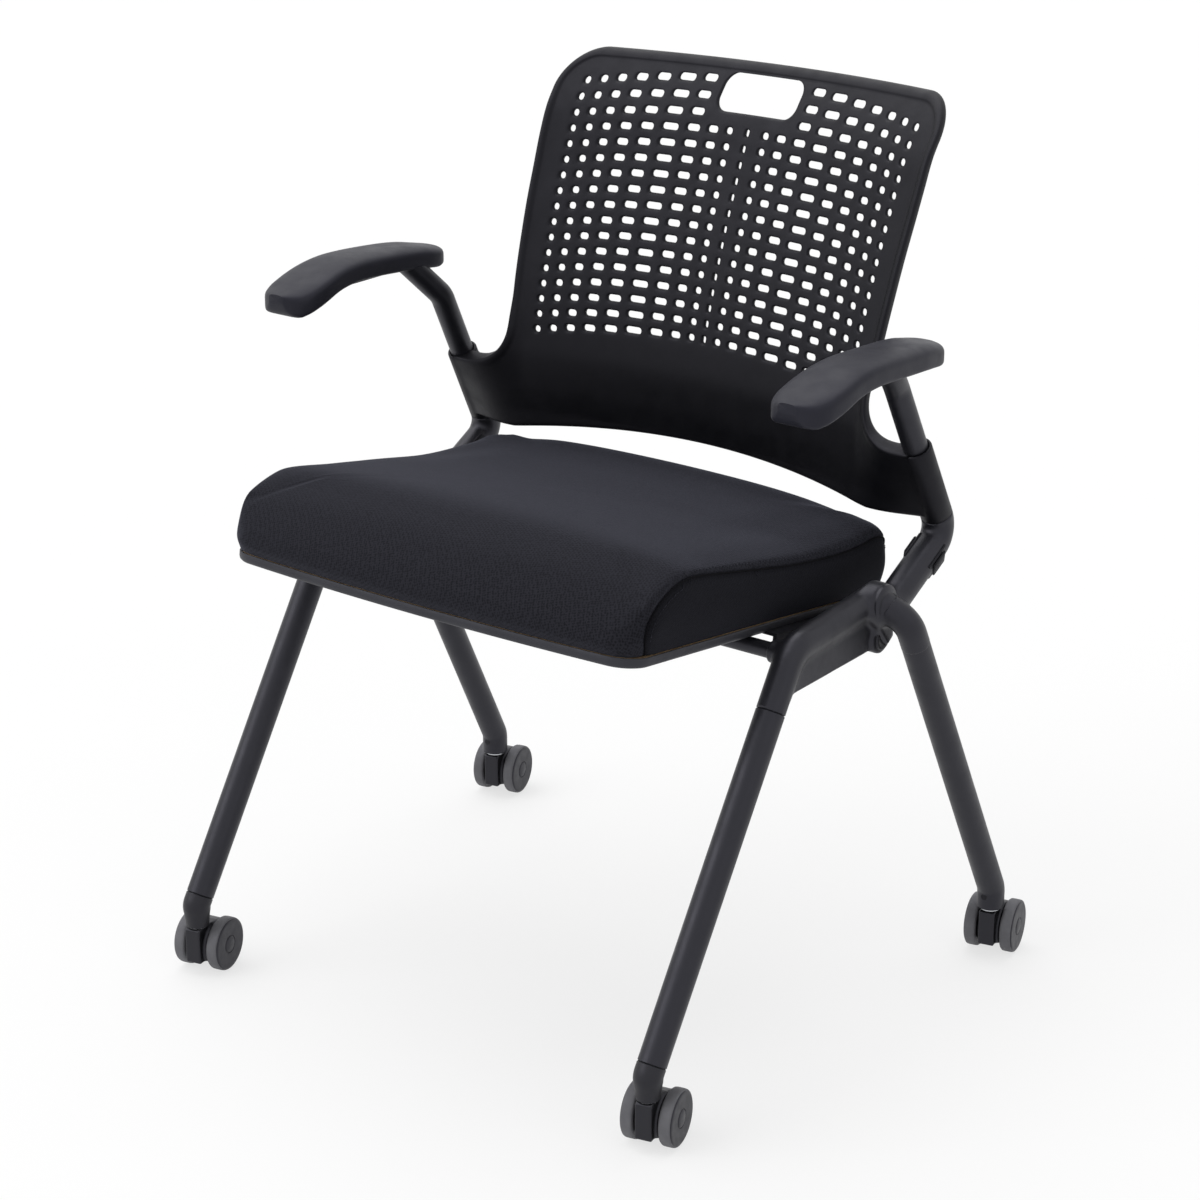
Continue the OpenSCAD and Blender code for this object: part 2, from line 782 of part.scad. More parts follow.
module arm_plate() {
    color(powder_black)
        difference() {
            translate([plate_x - arm_plate_w / 2, plate_rear - arm_plate_l, arm_plate_z])
                cube([arm_plate_w, arm_plate_l, arm_plate_t]);
            pad_screw_places()
                translate([0, 0, -cut])
                    cylinder(r = pad_screw_r + fit, h = arm_plate_t + 2 * cut);
        }
}

module arm_pad_screws() {
    color(steel_bright)
        both_sides()
            pad_screw_places() {
                translate([0, 0, -pad_screw_head_t])
                    cylinder(r = pad_screw_head_r, h = pad_screw_head_t);
                cylinder(r = pad_screw_r, h = arm_plate_t + pad_screw_l);
            }
}

// Arm pad, a moulded grip that widens to the front and droops at its tip
// Drop of the pad's top, as a share of the droop, from its rear end to its tip
pad_drop_shares = [
    [0, 0.42], [0.04, 0.27], [0.1, 0.17], [0.2, 0.09], [0.35, 0.04], [0.5, 0], [0.62, 0.02],
    [0.7, 0.17], [0.78, 0.32], [0.86, 0.74], [0.93, 1.04], [1, 1.4]
];
// Half width as a share of the full half width, from the rear end to the tip
pad_width_shares = [
    [0, 0.45], [0.01, 0.62], [0.03, 0.76], [0.06, 0.85], [0.12, 0.9], [0.3, 0.93], [0.5, 0.93],
    [0.65, 0.95], [0.8, 1], [0.88, 0.97], [0.94, 0.84], [0.98, 0.58], [1, 0.3]
];
// Thickness as a share of the pad's
pad_depth_shares = [
    [0, 0.6], [0.03, 0.8], [0.08, 0.94], [0.2, 1], [0.7, 1], [0.86, 0.86], [0.95, 0.6], [1, 0.3]
];
pad_steps = 24;
pad_sides = 24;
pad_top_roundness = 0.62;
pad_low_roundness = 0.3;
pad_top_z = arm_plate_z + arm_pad_t + soft_gap;

function spow(v, e) = sign(v) * pow(abs(v), e);
function pad_ring(share) =
    let(
        w = arm_pad_w / 2 * lookup(share, pad_width_shares),
        t = arm_pad_t * lookup(share, pad_depth_shares),
        x = pad_x - arm_pad_splay * pow(max(0, 1 - 2 * share), 2),
        top = pad_top_z - arm_pad_droop * lookup(share, pad_drop_shares) - arm_pad_fall * (1 / 2 - share)
    )
    [for (j = [0 : pad_sides - 1])
        let(a = 360 * j / pad_sides, e = sin(a) > 0 ? pad_top_roundness : pad_low_roundness)
        [
            x + w * spow(cos(a), e),
            arm_pad_rear_reach - arm_pad_l * share,
            top - t / 2 + t / 2 * spow(sin(a), e)
        ]
    ];

// Closed skin over rings of equal length, each ring a list of points, with a fan over each end
module skin(rings) {
    n = len(rings[0]);
    m = len(rings);
    ones = [for (j = [1 : n]) 1];
    points = concat([for (ring = rings) each ring], [ones * rings[0] / n, ones * rings[m - 1] / n]);
    faces = [
        for (j = [0 : n - 1])
            let(k = (j + 1) % n)
            each concat(
                [[m * n, j, k], [m * n + 1, (m - 1) * n + k, (m - 1) * n + j]],
                [for (i = [0 : m - 2]) each [
                    [i * n + j, (i + 1) * n + j, (i + 1) * n + k],
                    [i * n + j, (i + 1) * n + k, i * n + k]
                ]]
            )
    ];
    polyhedron(points = points, faces = faces, convexity = 4);
}

module arm_pad() {
    color(pad_grey)
        difference() {
            skin([for (i = [0 : pad_steps]) pad_ring((1 - cos(180 * i / pad_steps)) / 2)]);
            translate([
                plate_x - arm_plate_w / 2 - soft_gap, plate_rear - arm_plate_l - soft_gap,
                arm_plate_z - arm_pad_t
            ])
                cube([arm_plate_w + 2 * soft_gap, arm_plate_l + 2 * soft_gap, arm_pad_t + arm_plate_t]);
            pad_screw_places()
                cylinder(r = pad_screw_r + fit, h = arm_plate_t + pad_screw_l + cut);
            difference() {
                rod(arm_bend, mix(arm_bend, arm_end, 1 + arm_over_share), upright_r + soft_gap);
                above(arm_plate_z + arm_plate_t);
            }
        }
}

// Seat, built in a frame that is centred on the pivot and tilted back with the seat
seat_steps = 6;
seat_corner_r = 30;
seat_front_bulge = 12;
seat_rear_bulge = 12.5;
seat_side_draw = 0.8;
pan_inset = 4;
board_gap = 0.6;
board_inset = pan_inset + pan_t + board_gap;
cushion_base = pan_rise + pan_h + soft_gap;
cushion_l = cushion_front + cushion_rear;
// Height of the cushion's seam over its base, as a share of the crest's, from front to rear
seam_shares = [
    [0, 0.26], [0.03, 0.49], [0.07, 0.75], [0.12, 0.88], [0.18, 0.97], [0.3, 0.935], [0.42, 0.9],
    [0.58, 0.875], [0.73, 0.88], [0.83, 0.92], [0.91, 1.02], [0.96, 0.86], [1, 0.58]
];

module on_seat() {
    translate([0, pivot_reach, pivot_z])
        rotate([-seat_tilt, 0, 0])
            children();
}

// Closed outline of the seat, drawn in by inset, each point as [x, v, share of the length]
function seat_edge(a, b, n) = [for (i = [1 : n - 1]) mix(a, b, i / n)];
function seat_loop(inset) =
    let(
        w = cushion_w / 2 - inset,
        f = -cushion_front + inset,
        b = cushion_rear - inset,
        r = max(seat_corner_r - inset, 2 * pan_inset),
        fr = arc_points([w - r, f + r], r, -90, 0, seat_steps),
        br = arc_points([w - r, b - r], r, 0, 90, seat_steps),
        bl = arc_points([r - w, b - r], r, 90, 180, seat_steps),
        fl = arc_points([r - w, f + r], r, 180, 270, seat_steps),
        loop = concat(
            fr, seat_edge(fr[seat_steps], br[0], seat_steps + 4),
            br, seat_edge(br[seat_steps], bl[0], seat_steps),
            bl, seat_edge(bl[seat_steps], fl[0], seat_steps + 4),
            fl, seat_edge(fl[seat_steps], fr[0], seat_steps)
        )
    )
    [for (p = loop)
        let(
            along = (p.y + cushion_front) / cushion_l,
            across = 1 - pow(p.x / (cushion_w / 2), 2),
            end = 1 - min(1, 4 * min(along, 1 - along))
        )
        [
            p.x - sign(p.x) * seat_side_draw * max(0, 1 - pow(2 * along - 1, 2)),
            p.y + end * (along < 0.5 ? seat_front_bulge : -seat_rear_bulge) * (1 - across),
            along
        ]
    ];

module seat_outline(inset) {
    polygon([for (p = seat_loop(inset)) [p.x, p.y]]);
}

function cushion_top(p) = cushion_base + cushion_h * lookup(p[2], seam_shares)
    + cushion_crown * (1 - pow(p.x / (cushion_w / 2), 2)) * (1 - pow(2 * p[2] - 1, 4));
function cushion_ring(inset, share, drop) =
    [for (p = seat_loop(inset)) [p.x, p.y, mix(cushion_base, cushion_top(p) - drop, share)]];

module seat_cushion() {
    edge = cushion_h / 6;
    color(fabric_black)
        on_seat()
            skin([
                cushion_ring(edge, 0, 0), cushion_ring(pan_inset, 0, 0),
                cushion_ring(edge / 8, 0.14, 0), cushion_ring(0, 0.42, 0),
                cushion_ring(edge / 6, 0.72, 0), cushion_ring(edge / 2, 1, edge / 3),
                cushion_ring(edge, 1, edge / 9), cushion_ring(2 * edge, 1, 0),
                cushion_ring(4 * edge, 1, 0), cushion_ring(8 * edge, 1, 0),
                cushion_ring(13 * edge, 1, 0), cushion_ring(18 * edge, 1, 0)
            ]);
}

screw_r = 2.5;
screw_head_r = 5;
screw_head_t = 2.4;
arm_t = 4;
arm_gap = 2;
arm_x = cushion_w / 2 + arm_gap;
arm_flange_w = 42;
arm_flange_t = 2.8;
arm_clearance = 8.6;
ear_r = 15;
bush_wall = 2;
bush_l = 12;
bush_flange = 2;
bush_edge = 1.5;
bush_r = rear_cross_d / 2 + fit + bush_wall;
seat_end_x = arm_x - arm_t / 2 + bush_l;
arm_screw_shares = [0.125, 0.5, 0.875];
board_screw_x_share = 0.265;
board_screw_shares = [0.172, 0.904];
buffer_share = 0.33;
buffer_r = 9;
cross_to_pivot = [-front_cross_reach - pivot_reach, front_cross_z - pivot_z];
front_cross_v = cross_to_pivot * [cos(seat_tilt), -sin(seat_tilt)];
front_cross_w = cross_to_pivot * [sin(seat_tilt), cos(seat_tilt)];
arm_front = front_cross_v + front_cross_d / 2 + arm_clearance;
arm_rear = -ear_r;

module arm_screw_spots() {
    for (s = [-1, 1])
        for (share = arm_screw_shares)
            translate([s * (arm_x - arm_flange_w / 2), mix(arm_front, arm_rear, share), pan_rise])
                children();
}

module board_screw_spots() {
    for (s = [-1, 1])
        for (share = board_screw_shares)
            translate([s * board_screw_x_share * cushion_w, share * cushion_l - cushion_front, pan_rise])
                children();
}

module buffer_spots() {
    for (s = [-1, 1])
        translate([s * buffer_share * cushion_w, front_cross_v, pan_rise])
            children();
}

// Clear hole for a screw through the pan and what lies on it
module screw_hole() {
    translate([0, 0, -cut])
        cylinder(r = screw_r + fit, h = pan_h);
}

module seat_pan() {
    color(plastic_black)
        on_seat()
            difference() {
                translate([0, 0, pan_rise])
                    linear_extrude(pan_h)
                        seat_outline(pan_inset);
                translate([0, 0, pan_rise + pan_t])
                    linear_extrude(pan_h)
                        seat_outline(pan_inset + pan_t);
                arm_screw_spots()
                    screw_hole();
                board_screw_spots()
                    screw_hole();
                buffer_spots()
                    screw_hole();
            }
}

module seat_board() {
    color("tan")
        on_seat()
            difference() {
                translate([0, 0, pan_rise + pan_t])
                    linear_extrude(pan_h - pan_t)
                        seat_outline(board_inset);
                translate([0, 0, pan_t]) {
                    arm_screw_spots()
                        screw_hole();
                    board_screw_spots()
                        screw_hole();
                }
            }
}

// Steel arm under each side of the seat, with an ear that turns on the rear cross tube
module seat_arm() {
    color(powder_black)
        on_seat()
            difference() {
                union() {
                    translate([arm_x, 0, 0])
                        rotate([90, 0, 90])
                            linear_extrude(arm_t) {
                                circle(r = ear_r);
                                polygon([
                                    [arm_front, pan_rise], [arm_front, 0], [0, arm_t - ear_r],
                                    [ear_r - arm_t, 0], [0, pan_rise]
                                ]);
                            }
                    translate([arm_x - arm_flange_w, arm_front, pan_rise - arm_flange_t])
                        cube([arm_flange_w + arm_t / 2, arm_rear - arm_front, arm_flange_t]);
                    x_rod([0, 0, 0], arm_x - arm_t / 2, seat_end_x, bush_r + bush_edge);
                }
                x_rod([0, 0, 0], arm_x - bush_l, arm_x + 2 * bush_l, bush_r + fit);
                translate([0, 0, -pan_t])
                    arm_screw_spots()
                        screw_hole();
            }
}

// Plastic bushes between the arms and the rear cross tube
module seat_bushes() {
    color(plastic_black)
        on_seat()
            both_sides()
                difference() {
                    union() {
                        x_rod([0, 0, 0], arm_x - arm_t / 2, seat_end_x, bush_r);
                        x_rod([0, 0, 0], arm_x - arm_t / 2 - bush_flange, arm_x - arm_t / 2,
                            bush_r + bush_edge);
                    }
                    x_rod([0, 0, 0], arm_x - bush_l, arm_x + 2 * bush_l, rear_cross_d / 2 + fit);
                }
}

module seat_arm_screws() {
    color(steel_bright)
        on_seat()
            arm_screw_spots() {
                translate([0, 0, -arm_flange_t - screw_head_t])
                    cylinder(r = screw_head_r, h = screw_head_t);
                translate([0, 0, -arm_flange_t - cut])
                    cylinder(r = screw_r, h = pan_h + arm_flange_t);
            }
}

module seat_board_screws() {
    color(steel_bright)
        on_seat()
            board_screw_spots() {
                translate([0, 0, -screw_head_t])
                    cylinder(r = screw_head_r, h = screw_head_t);
                translate([0, 0, -cut])
                    cylinder(r = screw_r, h = pan_h);
            }
}

// Rubber buffers under the pan, which rest on the front cross tube
module seat_buffers() {
    tall = pan_rise - front_cross_w - front_cross_d / 2 - soft_gap;
    color(rubber_black)
        on_seat()
            buffer_spots() {
                translate([0, 0, -tall])
                    cylinder(r = buffer_r, h = tall);
                translate([0, 0, -cut])
                    cylinder(r = screw_r, h = pan_t + cut);
            }
}

// Casters
axle_r = axle_d / 2;
wheel_r = wheel_d / 2;
tread_t = 4;
wheel_gap = 0.3;
collar_r = 9.5;
collar_t = 2;
stem_low = 26;
hood_r = 22.3;
block_reach = 10.5;
block_low_z = 13;
hub_cap_r = 7.5;
hub_cap_t = 0.6;
shoulder = 1.6;
axle_end_gap = 1.2;

// Places a caster's parts: +X along the axle, +Y from the swivel axis to the wheels
module at_caster(stem) {
    translate([stem.x, stem.y, 0])
        rotate([0, 0, caster_turn])
            children();
}

module caster_stem() {
    translate([0, 0, leg_end_z - collar_t])
        cylinder(r = collar_r, h = collar_t);
    translate([0, 0, stem_low])
        cylinder(r = stem_r, h = leg_end_z + stem_grip_l - stem_low);
}

module caster_housing() {
    top = leg_end_z - collar_t - soft_gap;
    color(plastic_black)
        difference() {
            union() {
                x_rod([0, caster_trail, wheel_r], -housing_w / 2, housing_w / 2, hood_r);
                translate([-housing_w / 2, -block_reach, block_low_z])
                    cube([housing_w, block_reach + caster_trail, top - block_low_z]);
            }
            translate([0, 0, block_low_z - wheel_r])
                cube([4 * housing_w, 4 * hood_r, 2 * wheel_r], center = true);
            translate([0, 0, stem_low - cut])
                cylinder(r = stem_r + fit, h = top);
            x_rod([0, caster_trail, wheel_r], -housing_w, housing_w, axle_r + fit);
        }
}

module caster_axle() {
    reach = housing_w / 2 + wheel_gap + wheel_w - axle_end_gap;
    color(steel_bright)
        x_rod([0, caster_trail, wheel_r], -reach, reach, axle_r);
}

// Wheel disc with a blind bore and a raised hub cap, its inner face at the origin
module on_axle(side) {
    translate([0, caster_trail, wheel_r])
        rotate([0, side * 90, 0])
            translate([0, 0, housing_w / 2 + wheel_gap])
                children();
}

module wheel(side) {
    r = wheel_r - tread_t - fit;
    bore = axle_r + fit;
    depth = wheel_w - axle_end_gap + soft_gap;
    color(disc_grey)
        on_axle(side)
            rotate_extrude()
                polygon([
                    [bore, 0], [r, 0], [r, wheel_w - shoulder], [r - shoulder, wheel_w],
                    [hub_cap_r, wheel_w], [hub_cap_r, wheel_w + hub_cap_t], [0, wheel_w + hub_cap_t],
                    [0, depth], [bore, depth]
                ]);
}

module tyre(side) {
    color(tread_grey)
        on_axle(side)
            rotate_extrude()
                polygon([
                    [wheel_r - tread_t, 0], [wheel_r - shoulder, 0], [wheel_r, shoulder],
                    [wheel_r, wheel_w - shoulder], [wheel_r - shoulder, wheel_w], [wheel_r - tread_t, wheel_w]
                ]);
}

module caster_stems() {
    color(steel_bright) {
        for (s = [-1, 1]) {
            at_caster([s * leg_x, -front_stem_reach])
                caster_stem();
            at_caster([s * rear_foot_x, rear_stem_reach])
                caster_stem();
        }
    }
}

front_left = [leg_x, -front_stem_reach];
front_right = [-leg_x, -front_stem_reach];
rear_left = [rear_foot_x, rear_stem_reach];
rear_right = [-rear_foot_x, rear_stem_reach];

side_bracket();  // side_bracket_left
right_side() side_bracket();  // side_bracket_right
front_leg();  // front_leg_left
right_side() front_leg();  // front_leg_right
rear_leg();  // rear_leg_left
right_side() rear_leg();  // rear_leg_right
leg_adapter();  // leg_adapter_left
right_side() leg_adapter();  // leg_adapter_right
rear_leg_sockets();
rear_leg_plugs();
front_cross_tube();
rear_cross_tube();
cross_tube_caps();
upright();  // upright_left
right_side() upright();  // upright_right
upright_bumpers();
back_shell();
back_screws();
arm_plate();  // arm_plate_left
right_side() arm_plate();  // arm_plate_right
arm_pad();  // arm_pad_left
right_side() arm_pad();  // arm_pad_right
arm_pad_screws();
caster_stems();
seat_cushion();
seat_board();
seat_pan();
seat_arm();  // seat_arm_left
right_side() seat_arm();  // seat_arm_right
seat_bushes();
seat_arm_screws();
seat_board_screws();
seat_buffers();
at_caster(front_left) caster_housing();  // caster_housing_front_left
at_caster(front_right) caster_housing();  // caster_housing_front_right
at_caster(rear_left) caster_housing();  // caster_housing_rear_left
at_caster(rear_right) caster_housing();  // caster_housing_rear_right
at_caster(front_left) caster_axle();  // caster_axle_front_left
at_caster(front_right) caster_axle();  // caster_axle_front_right
at_caster(rear_left) caster_axle();  // caster_axle_rear_left
at_caster(rear_right) caster_axle();  // caster_axle_rear_right
at_caster(front_left) wheel(1);  // wheel_front_left_outer
at_caster(front_left) wheel(-1);  // wheel_front_left_inner
at_caster(front_right) wheel(-1);  // wheel_front_right_outer
at_caster(front_right) wheel(1);  // wheel_front_right_inner
at_caster(rear_left) wheel(1);  // wheel_rear_left_outer
at_caster(rear_left) wheel(-1);  // wheel_rear_left_inner
at_caster(rear_right) wheel(-1);  // wheel_rear_right_outer
at_caster(rear_right) wheel(1);  // wheel_rear_right_inner
at_caster(front_left) tyre(1);  // tyre_front_left_outer
at_caster(front_left) tyre(-1);  // tyre_front_left_inner
at_caster(front_right) tyre(-1);  // tyre_front_right_outer
at_caster(front_right) tyre(1);  // tyre_front_right_inner
at_caster(rear_left) tyre(1);  // tyre_rear_left_outer
at_caster(rear_left) tyre(-1);  // tyre_rear_left_inner
at_caster(rear_right) tyre(-1);  // tyre_rear_right_outer
at_caster(rear_right) tyre(1);  // tyre_rear_right_inner
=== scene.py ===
"""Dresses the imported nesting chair: moulded back, sewn seat, cast brackets, tubes, pads and casters."""

import itertools
import json
import math

import bmesh
import bpy
import numpy as np
from mathutils import Matrix, Vector, geometry
from mathutils.bvhtree import BVHTree


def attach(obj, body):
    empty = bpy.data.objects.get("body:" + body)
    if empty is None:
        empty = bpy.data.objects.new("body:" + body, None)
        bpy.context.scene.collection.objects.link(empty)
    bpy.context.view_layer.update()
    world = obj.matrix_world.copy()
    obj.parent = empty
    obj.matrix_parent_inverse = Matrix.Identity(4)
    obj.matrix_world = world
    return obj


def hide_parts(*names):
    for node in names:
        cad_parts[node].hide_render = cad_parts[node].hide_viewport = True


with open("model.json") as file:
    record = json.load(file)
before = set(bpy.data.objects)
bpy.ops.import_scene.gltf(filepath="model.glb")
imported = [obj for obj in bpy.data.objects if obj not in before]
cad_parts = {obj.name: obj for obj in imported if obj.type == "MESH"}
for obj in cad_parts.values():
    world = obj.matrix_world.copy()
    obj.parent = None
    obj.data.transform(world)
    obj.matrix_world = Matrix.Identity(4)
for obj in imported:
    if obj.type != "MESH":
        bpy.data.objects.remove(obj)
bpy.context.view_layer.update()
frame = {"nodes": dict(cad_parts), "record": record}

# Lengths below are in millimetres, and MM brings them to Blender's metres
MM = 0.001

# Frame
TUBE_R = 12.7
UPRIGHT_R = 11.1
LEG_X = 258.5
RAIL_FRONT = np.array([LEG_X, -66.0, 382.0])
RAIL_REAR = np.array([LEG_X, 53.0, 392.0])
FRONT_FOOT = np.array([LEG_X, -261.0, 69.0])
FRONT_STEM = np.array([LEG_X, -261.0, 50.0])
REAR_STEM = np.array([298.4, 216.0, 50.0])
REAR_FOOT = np.array([298.4, 216.0, 69.0])
REAR_TOP = np.array([293.5, 61.0, 376.0])
UPRIGHT_FOOT = np.array([LEG_X, 85.0, 377.5])
UPRIGHT_BEND = np.array([LEG_X, 167.5, 423.0])
ARM_BEND = np.array([253.5, 92.0, 571.0])
ARM_END = np.array([262.8, 58.3, 604.7])
PIVOT = np.array([LEG_X, 61.0, 356.0])
FRONT_CROSS = np.array([LEG_X, -65.0, 376.5])
SOCKET_L = 54.0
ADAPTER_LAP = 9.0

# Back
SHELL_BOTTOM = 459.0
SHELL_H = 331.5
SHELL_W = 422.0
SHELL_SAG = 12.0
SHELL_T = 4.5
RIM_T = 8.0
PLAN_R = 655.0
SHELL_FRONT = 157.0
SHELL_LEAN = 113.0
SHELL_CORNER_R = 34.0
SLOT_ROWS = 17
SLOT_PITCH = 13.87
SLOT_H = 6.2
SLOT_W = 17.04
SLOT_WEB = 8.6
MID_WEB_SHARE = 1.69
SLOT_BOTTOM = 554.0
SLOT_DROOP = 13.0
HANDHOLD = (86.1, 32.0)
HANDHOLD_ROWS_DOWN = 1.77
SLEEVE_R = 14.3
SLEEVE_BORE_R = 11.3
SLEEVE_SHARES = (0.125, 0.592)
LEAN_SHARES = np.array([
    [0, 0.035], [0.08, 0.008], [0.16, 0], [0.24, 0.027], [0.33, 0.088], [0.42, 0.165],
    [0.51, 0.252], [0.6, 0.345], [0.69, 0.45], [0.78, 0.555], [0.85, 0.645], [0.9, 0.745],
    [0.95, 0.865], [1, 1],
])
WIDTH_SHARES = np.array([[0, 0.944], [0.26, 0.953], [0.4, 0.967], [0.65, 0.988], [0.82, 0.999], [1, 1]])
SLOT_SHARES = (0.22, 0.42, 0.64, 0.82, 1, 0.82, 0.71, 0.55, 0.44, 0.35)

# Arm pads
PAD_L = 209.5
PAD_W = 57.7
PAD_T = 21.3
PAD_DROOP = 25.0
PAD_FALL = 5.7
PAD_REAR = 101.6
PAD_X = 280.7
PAD_SPLAY = 6.4
PAD_TIP_TURN = 4.0
PAD_SMOOTHING = (-0.09, -0.06, -0.03, 0, 0.03, 0.06, 0.09)
PAD_TOP = 626.3
PAD_DROP_SHARES = np.array([
    [0, 0.42], [0.04, 0.27], [0.1, 0.17], [0.2, 0.09], [0.35, 0.04], [0.5, 0], [0.62, 0.02],
    [0.7, 0.14], [0.78, 0.32], [0.86, 0.52], [0.93, 0.7], [1, 0.9],
])
PAD_WIDTH_SHARES = np.array([
    [0, 0.45], [0.01, 0.62], [0.03, 0.76], [0.06, 0.85], [0.12, 0.9], [0.3, 0.93], [0.5, 0.93],
    [0.65, 0.95], [0.8, 1], [0.88, 0.97], [0.94, 0.84], [0.98, 0.58], [1, 0.3],
])
PAD_DEPTH_SHARES = np.array([
    [0, 0.6], [0.03, 0.8], [0.08, 0.94], [0.2, 1], [0.7, 1], [0.86, 1.1], [0.94, 1.1], [0.975, 0.94],
    [0.992, 0.7], [1, 0.4],
])

# Seat, in a frame centred on the pivot and tilted back
SEAT_TILT = math.radians(7.2)
CUSHION_W = 452.0
CUSHION_FRONT = 317.0
CUSHION_REAR = 94.0
CUSHION_L = CUSHION_FRONT + CUSHION_REAR
CUSHION_H = 66.0
CUSHION_CROWN = 7.5
CUSHION_BASE = 21.9
SEAT_CORNER_R = 30.0
SEAT_FRONT_BULGE = 12.0
SEAT_REAR_BULGE = 12.5
SEAT_SIDE_DRAW = 0.8
PAN_RISE = 14.8
PAN_H = 6.8
PAN_INSET = 4.0
PAN_RIM = 2.4
SEAM_SHARES = np.array([
    [0, 0.26], [0.03, 0.49], [0.07, 0.75], [0.12, 0.88], [0.18, 0.97], [0.3, 0.935], [0.42, 0.9],
    [0.58, 0.875], [0.73, 0.88], [0.83, 0.92], [0.91, 1.02], [0.96, 0.86], [1, 0.58],
])

# Casters
WHEEL_R = 25.0
HOUSING_W = 22.0
TRAIL = 17.5
CASTER_TURN = math.radians(13)
WHEEL_GAP = 0.3


def unit(v):
    return np.asarray(v, float) / np.linalg.norm(v)


def mix(a, b, share):
    return a + (b - a) * share


def smooth(t):
    t = np.clip(t, 0, 1)
    return t * t * (3 - 2 * t)


def curve(x, table):
    """Smooth interpolation through a table of pairs."""
    xs, ys = table[:, 0], table[:, 1]
    x = np.clip(np.asarray(x, float), xs[0], xs[-1])
    slopes = np.diff(ys) / np.diff(xs)
    inner = np.where(
        slopes[:-1] * slopes[1:] > 0,
        2 * slopes[:-1] * slopes[1:] / np.where(slopes[:-1] + slopes[1:] == 0, 1, slopes[:-1] + slopes[1:]),
        0,
    )
    m = np.concatenate([slopes[:1], inner, slopes[-1:]])
    i = np.clip(np.searchsorted(xs, x, "right") - 1, 0, len(xs) - 2)
    h = xs[i + 1] - xs[i]
    t = (x - xs[i]) / h
    return (
        (1 + 2 * t) * (1 - t) ** 2 * ys[i] + t * (1 - t) ** 2 * h * m[i]
        + t * t * (3 - 2 * t) * ys[i + 1] + t * t * (t - 1) * h * m[i + 1]
    )


# Mesh helpers

def piece(name, points, faces, material, body, slot, replaces=(), flat_angle=40):
    """A mesh object in place on its body, from points in millimetres."""
    mesh = bpy.data.meshes.new(name)
    mesh.from_pydata((np.asarray(points, float) * MM).tolist(), [], [tuple(map(int, f)) for f in faces])
    mesh.validate()
    obj = bpy.data.objects.new(name, mesh)
    bpy.context.scene.collection.objects.link(obj)
    work = bmesh.new()
    work.from_mesh(mesh)
    bmesh.ops.remove_doubles(work, verts=work.verts, dist=0.01 * MM)
    bmesh.ops.recalc_face_normals(work, faces=work.faces)
    for f in work.faces:
        f.smooth = True
    limit = math.radians(flat_angle)
    for e in work.edges:
        e.smooth = len(e.link_faces) == 2 and e.calc_face_angle(0) < limit
    work.to_mesh(mesh)
    work.free()
    mesh.materials.append(material)
    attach(obj, body)
    if replaces:
        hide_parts(*replaces)
    return obj


def mirrored(points):
    return np.asarray(points, float) * [-1, 1, 1]


def both(name, made, material, slot, replaced, flat_angle=40):
    """A frame piece on the sitter's left and its mirrored twin."""
    points, faces = made
    for side, where in (("left", points), ("right", mirrored(points))):
        piece(f"{name}_{side}", where, faces, material, "frame", slot, [f"{replaced}_{side}"], flat_angle)


def twins(made):
    """A shape on the sitter's left and its mirrored copy, in one piece."""
    points, faces = made
    return join([(points, faces), (mirrored(points), faces)])


def skin(rings, closed=True, caps=True):
    """Quads between rings of equal length, and a fan over each end."""
    m, n = len(rings), len(rings[0])
    points = np.concatenate(rings)
    faces = []
    for i in range(m - 1):
        for j in range(n if closed else n - 1):
            k = (j + 1) % n
            faces.append((i * n + j, (i + 1) * n + j, (i + 1) * n + k, i * n + k))
    if caps:
        points = np.concatenate([points, [rings[0].mean(0), rings[-1].mean(0)]])
        for j in range(n):
            k = (j + 1) % n
            faces.append((m * n, j, k))
            faces.append((m * n + 1, (m - 1) * n + k, (m - 1) * n + j))
    return points, faces


def join(parts):
    """One list of points and faces from several."""
    points, faces, base = [], [], 0
    for p, f in parts:
        points.append(np.asarray(p, float))
        faces += [tuple(v + base for v in q) for q in f]
        base += len(p)
    return np.concatenate(points), faces


def axes_along(direction, hint=(1, 0, 0)):
    d = unit(direction)
    side = np.asarray(hint, float) - d * np.dot(hint, d)
    if np.linalg.norm(side) < 0.1:
        side = np.array([0, 1, 0]) - d * d[1]
    side = unit(side)
    return side, np.cross(d, side), d


def lathe(profile, origin, direction, sides=64, hint=(1, 0, 0)):
    """Turned shape: profile is a list of (distance along the axis, radius)."""
    u, v, d = axes_along(direction, hint)
    angles = np.linspace(0, 2 * np.pi, sides, endpoint=False)
    circle = np.outer(np.cos(angles), u) + np.outer(np.sin(angles), v)
    return skin([np.asarray(origin) + d * a + circle * max(r, 1e-3) for a, r in profile], caps=False)


def round_path(points, bends, step=2.5):
    """Points along a line with round bends at its inner corners, step degrees apart."""
    points = [np.asarray(p, float) for p in points]
    path = [points[0]]
    for a, b, c, r in zip(points, points[1:], points[2:], bends):
        u, v = unit(b - a), unit(c - b)
        angle = math.acos(np.clip(np.dot(u, v), -1, 1))
        tangent = r * math.tan(angle / 2)
        side = unit(np.cross(np.cross(u, v), u))
        centre = b - u * tangent + side * r
        count = max(3, round(math.degrees(angle) / step))
        for i in range(count + 1):
            t = angle * i / count
            path.append(centre + r * (math.sin(t) * u - math.cos(t) * side))
    return np.array(path + [points[-1]])


